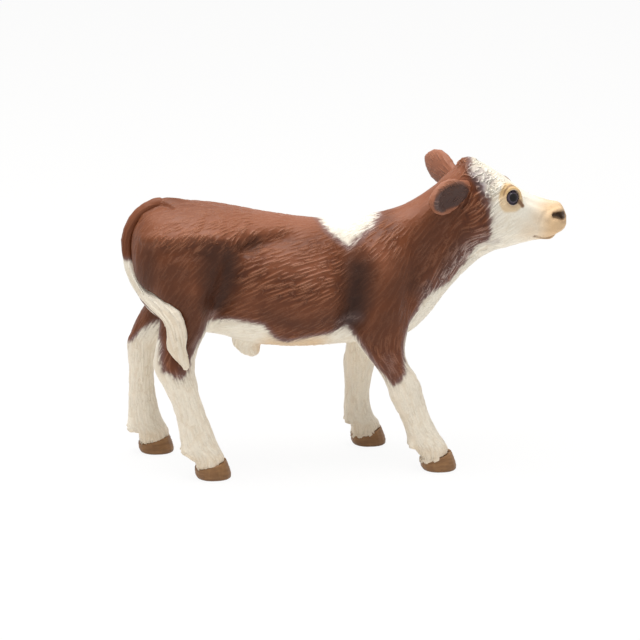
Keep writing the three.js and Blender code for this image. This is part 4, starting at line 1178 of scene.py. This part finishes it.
def partCoat(skin):
    def copyOfSkin():
        form = bmesh.new()
        form.from_mesh(skin.data)
        return form

    pieces = {}
    form = copyOfSkin()
    bisect(form, *partings["neck"], "inner")
    pieces["head"] = closePiece(form, "calfHead")
    form = copyOfSkin()
    bisect(form, *partings["neck"], "outer")
    bisect(form, (0, 0, partings["fore"]), (0, 0, -1), "outer")
    hindTop = partings["hindTop"]
    bisect(form, (0, 0, partings["hind"]), (0, 0, -1), None, lambda c: behindHind(c) and c.z < hindTop)
    drop(form, lambda c: behindHind(c) and c.z < partings["hind"])
    pieces["trunk"] = closePiece(form, "calfBody")
    for leg in lowerLegs:
        fore = "fore" in leg
        sign = -1 if leg.startswith("right") else 1
        form = copyOfSkin()
        legTop = partings["legTop"]
        drop(form, lambda c: c.z > legTop or (c.x > shoulderX) != fore or (c.y - middleY) * sign < 0)
        bisect(form, (0, 0, partings["fore" if fore else "hind"]), (0, 0, 1), "outer")
        if not fore:
            drop(form, lambda c: not behindHind(c))
        pieces[leg] = closePiece(form, leg.split("_")[0] + ("ForeLeg" if fore else "HindLeg"))
    bpy.data.objects.remove(skin)
    return pieces


def hand(piece, node, slot):  # a finished piece takes its CAD node's place, and keeps inside the calf's box
    low, high = (np.array(corner) / mm for corner in (cadLow, cadHigh))
    putPoints(piece.data, np.clip(pointsOf(piece.data), low, high))
    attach(piece, "root")
    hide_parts(node)


mostTriangles = 192000  # on one piece


def thinOut(piece):
    piece.data.calc_loop_triangles()
    count = len(piece.data.loop_triangles)
    if count > mostTriangles:
        modify(piece, "DECIMATE", {"ratio": mostTriangles / count})
    print(piece.name, "ready")


for node, piece in partCoat(makeCoat()).items():
    thinOut(piece)
    hand(piece, node, "leg" if node in lowerLegs else node)


# Ears: cupped leaves with hair swept from the root towards the rim

earForm = {
    "voxel": 0.34, "rounds": 4,
    "root": (3.0, 0.5, 2.2),  # from and to along the ear, and how far it is drawn out there
    "depth": (0.36, 0.44), "length": 0.5, "room": 0.6, "fan": (4.0, 0.5), "inside": (0.1, 0.6),
    # shade, light and border: painted shade in the hollow, painted highlight on the rim, and a painted shadow
    # under the rim's edge
    "white": -6.0, "shade": 0.95, "shadeFrom": (-0.25, 0.45), "light": 0.9,
    "border": (0.15, 0.25, 0.5), "borderFrom": (0.5, 1.6), "frost": (9, 11.5, 0.35),
}
ears = {
    "right_ear": {"root": (25.04, -6.09, 60.49), "way": (-0.66, -0.74, -0.05), "hollow": (0.78, -0.6, -0.2),
                  "stretch": (1.1, 1, 1), "roll": 6},
    "left_ear": {"root": (25.04, 4.71, 60.49), "way": (-0.4, 0.87, 0.27), "hollow": (0.91, 0.4, -0.07),
                 "stretch": (1, 1, 0.93), "roll": 0},
}
earHollow = [  # outline of the dark hollow: along the ear, and beside its middle
    (12.2, 1.1), (10.6, 2.3), (8.4, 2.7), (4.4, 2.7), (2.2, 2.2), (0.2, 0.6), (0.6, -1.4), (2.6, -2.5),
    (5.6, -2.5), (7.7, -2.5), (9.4, -2.8), (11.8, -1.7), (12.9, -0.1),
]


def makeEar(node):
    ear, points = formOf(node, earForm["voxel"], earForm["rounds"])
    form = ears[node]
    root, way, hollow = form["root"], unit(form["way"]), unit(form["hollow"])
    points = (points - root) @ np.array(Matrix.Rotation(math.radians(form["roll"]), 3, Vector(way))).T
    points = root + points * form["stretch"]
    points -= way * fade((points - root) @ way, *earForm["root"])[:, None]
    putPoints(ear.data, points)
    subdivide(ear)
    points, normals = pointsOf(ear.data), normalsOf(ear.data)
    across = np.cross(way, hollow)
    run, beside = (points - root) @ way, (points - root) @ across
    inner = ease(*earForm["inside"], normals @ hollow)
    width, outer = earForm["fan"]
    sweep = way[None, :] + across[None, :] * (beside / width)[:, None] * (outer + inner[:, None])
    outerDepth, more = earForm["depth"]
    depth = outerDepth + more * inner
    setHair(ear.data, alongSkin(sweep, normals), depth, np.full(len(points), earForm["length"]))
    comb(ear, earMaterial, Room=earForm["room"] * mm)
    hollow = outlineDistance(np.stack([run, beside], 1), earHollow)
    # the rim is painted paler as a highlight where the light from above falls; the hollow is painted a darker
    # grey-brown, partly its own colour and partly painted shade; a dark line along the hollow's upper edge is
    # a painted shadow under the rim
    middle = ease(*earForm["shadeFrom"], hollow) * inner
    outside, width, strength = earForm["border"]
    border = np.exp(-((hollow + outside) / width) ** 2) * ease(*earForm["borderFrom"], beside) * inner
    putPaint(ear.data, white=np.full(len(points), earForm["white"]), shade=earForm["shade"] * middle,
             light=earForm["light"] * (1 - middle), dark=strength * border,
             frost=fade(run, *earForm["frost"]) * middle)
    ear.name = node.replace("_ear", "Ear")
    return ear


for node in ears:
    hand(makeEar(node), node, "ear")
print("ears ready")


# Tail: long locks that follow it down to the switch

tailForm = {
    "voxel": 0.3, "rounds": 5,
    "hair": {"Room": 0.8 * mm, "Length": 9.0 * mm, "Depth": 0.22 * mm, "Wander": 0.15},
    "bends": [(29.8, 1.9, -0.5), (25.4, 1.3, 0.35)],  # height, reach and shift of the switch
    "root": (-39.7, -36.6, 2.4),  # from and to along the back, and how far it sinks there
    "crown": (-40.4, 2.0, 0.36), "above": 50,  # place, reach and height of a rise along its top
    "fuller": 0.22, "fullerFrom": (47, 44), "fullerTo": (34, 38),  # the share by which the pale part is wider
    "thin": 0.25, "thick": (48, 42, 0.65),  # depth of the hair
    "paleFrom": 46.3, "paleEdge": 1.1, "tan": (44, 34, 0.2), "light": (50, 56, 0.3),
}


def makeTail():
    tail, points = formOf("tail", tailForm["voxel"], tailForm["rounds"])
    for height, reach, shift in tailForm["bends"]:
        points[:, 0] += shift * np.exp(-((points[:, 2] - height) / reach) ** 2)
    x, _, z = points.T
    z -= fade(x, *tailForm["root"]) * (z > tailForm["above"])
    place, reach, height = tailForm["crown"]
    z += height * np.exp(-((x - place) / reach) ** 2) * (z > tailForm["above"])
    path = np.array(tailPath)
    rising = path[:0:-1]
    middle = np.stack([np.interp(z, rising[:, 2], rising[:, k]) for k in (0, 1)], 1)
    spread = tailForm["fuller"] * ease(*tailForm["fullerFrom"], z) * ease(*tailForm["fullerTo"], z)
    points[:, :2] += (points[:, :2] - middle) * spread[:, None]
    putPoints(tail.data, points)
    subdivide(tail)
    points = pointsOf(tail.data)
    ways = np.gradient(path, axis=0)
    _, share = alongPath(points, path)
    lengths = np.concatenate([[0], np.cumsum(np.linalg.norm(np.diff(path, axis=0), axis=1))])
    flow = np.stack([np.interp(share * lengths[-1], lengths, ways[:, k]) for k in range(3)], 1)
    depth = tailForm["thin"] + fade(points[:, 2], *tailForm["thick"])
    setHair(tail.data, alongSkin(flow, normalsOf(tail.data)), depth, np.ones(len(points)))
    comb(tail, coatMaterial, **tailForm["hair"])
    heights = pointsOf(tail.data)[:, 2]
    # the top of the tail, along the rump, is painted paler as a highlight where the light from above falls
    putPaint(tail.data, white=(tailForm["paleFrom"] - heights) * tailForm["paleEdge"],
             tan=fade(heights, *tailForm["tan"]), light=fade(heights, *tailForm["light"]))
    tail.name = "calfTail"
    return tail


hand(makeTail(), "tail", "tail")


# Hooves: two claws with growth rings

hoofForm = {"voxel": 0.2, "rounds": 10, "rings": 0.025, "ringGap": 0.9, "ringWaves": (4.0, 3, 1.2)}
hoofPaint = {
    "horn": linear(146, 107, 68), "low": linear(120, 84, 50), "light": linear(166, 129, 86),
    "bands": (5.0, 300.0, 3.0), "streaks": (0.12, 1100.0, 2.0),  # height of the pattern, scale, detail
    "bandTones": (0.2, 0.75), "streakTones": (0.5, 0.9, 0.0, 0.35), "sole": (0.0, 1.4 * mm, 0.5, 0.0),
    "grainSize": 1.5 * mm, "grain": 0.25, "heights": (0.8, 0.4), "bump": 0.3, "specular": 0.4,
}


def makeHoofMaterial():
    material, tree, surface = startMaterial("hoofHorn", hoofPaint["horn"])
    place = objectPlace(tree)

    def stretched(height, scale, detail):
        mapped = get(tree, "ShaderNodeMapping", 0, {"Vector": place, "Scale": (1.0, 1.0, height)})
        return noise(tree, mapped, scale, detail)

    bands, streaks = stretched(*hoofPaint["bands"]), stretched(*hoofPaint["streaks"])
    grain = useGroup(tree, paintGrain, Size=hoofPaint["grainSize"], Amount=hoofPaint["grain"])
    colour = bands.ramp(*hoofPaint["bandTones"]).mix(hoofPaint["low"], hoofPaint["horn"])
    colour = streaks.ramp(*hoofPaint["streakTones"]).mix(colour, hoofPaint["light"])
    height = get(tree, "ShaderNodeSeparateXYZ", "Z", {"Vector": place})
    colour = height.ramp(*hoofPaint["sole"]).mix(colour, hoofPaint["low"])
    coarse, fine = hoofPaint["heights"]
    dress(tree, surface, colour, grain, bands * coarse + grain["Height"] * fine, hoofPaint)
    return material


hoofMaterial = makeHoofMaterial()


def makeHoof(node):
    hoof, points = formOf(node, hoofForm["voxel"], hoofForm["rounds"])
    putPoints(hoof.data, points)
    points, normals = pointsOf(hoof.data), normalsOf(hoof.data)
    scale, seed, amount = hoofForm["ringWaves"]
    wave = np.sin(points[:, 2] / hoofForm["ringGap"] * 2 * math.pi + lineNoise(points, scale, seed) * amount)
    points += normals * (wave * hoofForm["rings"] * (1 - np.abs(normals[:, 2])))[:, None]
    points[:, 2] = np.maximum(points[:, 2], 0)
    putPoints(hoof.data, points)
    hoof.data.materials.clear()
    hoof.data.materials.append(hoofMaterial)
    smoothShade(hoof.data)
    side, place, _ = node.split("_")
    hoof.name = side + place.capitalize() + "Hoof"
    return hoof


for leg in lowerLegs:
    hand(makeHoof(hoofOf(leg)), hoofOf(leg), "hoof")
print("hooves ready")


# Eyes: glossy balls with a low cornea over a grey-blue ring

eyePaint = {
    "ball": linear(20, 17, 17), "ring": linear(92, 84, 98), "edge": linear(58, 44, 36),
    "ringFrom": (0.46, 0.56), "edgeFrom": (0.9, 1.1), "fibres": (1800.0, 2.0),
    "fibreTones": (0.2, 0.8, 0.6, 0.9),
}
eyeGloss = {"Roughness": 0.2, "Specular IOR Level": 0.12, "Coat Weight": 0.2, "Coat Roughness": 0.04}
cornea = {"flatter": 0.12, "from": (40, 90), "rise": 0.03, "edge": (12, 34), "whole": 60}  # angles in degrees


def makeEyeMaterial():
    material, tree, surface = startMaterial("eyeGloss", eyePaint["ball"])
    ring = attribute(tree, "iris")
    fibres = noise(tree, objectPlace(tree), *eyePaint["fibres"])
    band = ring.ramp(*eyePaint["ringFrom"]) * fibres.ramp(*eyePaint["fibreTones"])
    colour = band.mix(eyePaint["ball"], eyePaint["ring"])
    colour = ring.ramp(*eyePaint["edgeFrom"]).mix(colour, eyePaint["edge"])
    fill(surface, dict(eyeGloss, **{"Base Color": colour}))
    return material


eyeMaterial = makeEyeMaterial()


def makeEye(node, centre):
    form = bmesh.new()
    bmesh.ops.create_icosphere(form, subdivisions=5, radius=eyeRadius * mm)
    mesh = bpy.data.meshes.new(node)
    form.to_mesh(mesh)
    form.free()
    points = pointsOf(mesh)
    axis = eyePlace(points, centre)[0]
    turn = np.degrees(np.arccos(np.clip(points @ axis / eyeRadius, -1, 1)))
    points -= axis * (cornea["flatter"] * ease(*cornea["from"], turn))[:, None]
    points *= (1 - cornea["rise"] * ease(*cornea["edge"], turn))[:, None]
    putPoints(mesh, points + centre)
    putAttribute(mesh, "iris", turn / cornea["whole"])
    mesh.materials.append(eyeMaterial)
    smoothShade(mesh)
    return newObject(node.replace("_eye", "Eye"), mesh)


for node, centre in (("right_eye", rightEye), ("left_eye", leftEye)):
    hand(makeEye(node, centre), node, "eye")
print("eyes ready")


# Floor, light and camera

room = {"floorSize": 3.0, "whiteness": 0.92, "world": 0.46, "keyPower": 3.3, "keySize": 0.45,
        "keyColour": (1.0, 0.98, 0.95), "keyPlace": (-0.06, 0.0, 0.52), "keyAim": (-0.005, 0, 0.03)}
paper = {"Base Color": (0.9, 0.885, 0.865, 1), "Roughness": 0.9, "Specular IOR Level": 0.0}
view = {"target": (-5.41, -0.69, 31.4), "azimuth": -7, "elevation": 15, "distance": 600, "lens": 156.3}


def seenRays(tree):  # 1 for the rays that show a thing to the camera, straight or through gloss or glass
    rays = valuesOf(tree.nodes.new("ShaderNodeLightPath"))
    turned = rays["Is Glossy Ray"].maths("MAXIMUM", rays["Is Transmission Ray"])
    return rays["Is Camera Ray"].maths("MAXIMUM", turned)


def makeFloor():
    mesh = bpy.data.meshes.new("floor")
    half = room["floorSize"] / 2
    corners = [(x * half, y * half, 0) for x, y in ((-1, -1), (1, -1), (1, 1), (-1, 1))]
    mesh.from_pydata(corners, [], [(0, 1, 2, 3)])
    material, tree, surface = startMaterial("floorPaper", paper["Base Color"])
    fill(surface, paper)
    glow = get(tree, "ShaderNodeEmission", 0, {"Color": (1, 1, 1, 1), "Strength": 1.0})
    inputs = {0: seenRays(tree) * room["whiteness"], 1: Value(surface.outputs[0]), 2: glow}
    fill(tree.nodes["Material Output"], {"Surface": get(tree, "ShaderNodeMixShader", 0, inputs)})
    mesh.materials.append(material)
    newObject("floor", mesh)


def aimed(name, data, place, way):
    thing = bpy.data.objects.new(name, data)
    thing.location = place
    thing.rotation_euler = way.to_track_quat("-Z", "Y").to_euler()
    scene.collection.objects.link(thing)
    return thing


def makeLight():
    scene.world = bpy.data.worlds.new("studio")
    scene.world.use_nodes = True
    tree = scene.world.node_tree
    strength = seenRays(tree).scaled(1.0 - room["world"], room["world"])
    fill(tree.nodes["Background"], {"Color": (1, 1, 1, 1), "Strength": strength})
    lamp = bpy.data.lights.new("softbox", "AREA")
    lamp.shape = "DISK"
    lamp.size, lamp.energy, lamp.color = room["keySize"], room["keyPower"], room["keyColour"]
    place = Vector(room["keyPlace"])
    aimed("softbox", lamp, place, Vector(room["keyAim"]) - place)


def makeCamera():
    azimuth, elevation = math.radians(view["azimuth"]), math.radians(view["elevation"])
    flat = math.cos(elevation)
    back = Vector((math.sin(azimuth) * flat, -math.cos(azimuth) * flat, math.sin(elevation)))
    data = bpy.data.cameras.new("camera")
    data.lens = view["lens"]
    data.clip_start = 0.01
    scene.camera = aimed("camera", data, (Vector(view["target"]) + back * view["distance"]) * mm, -back)


makeFloor()
makeLight()
makeCamera()
scene.view_settings.view_transform = "Standard"
print("ready")
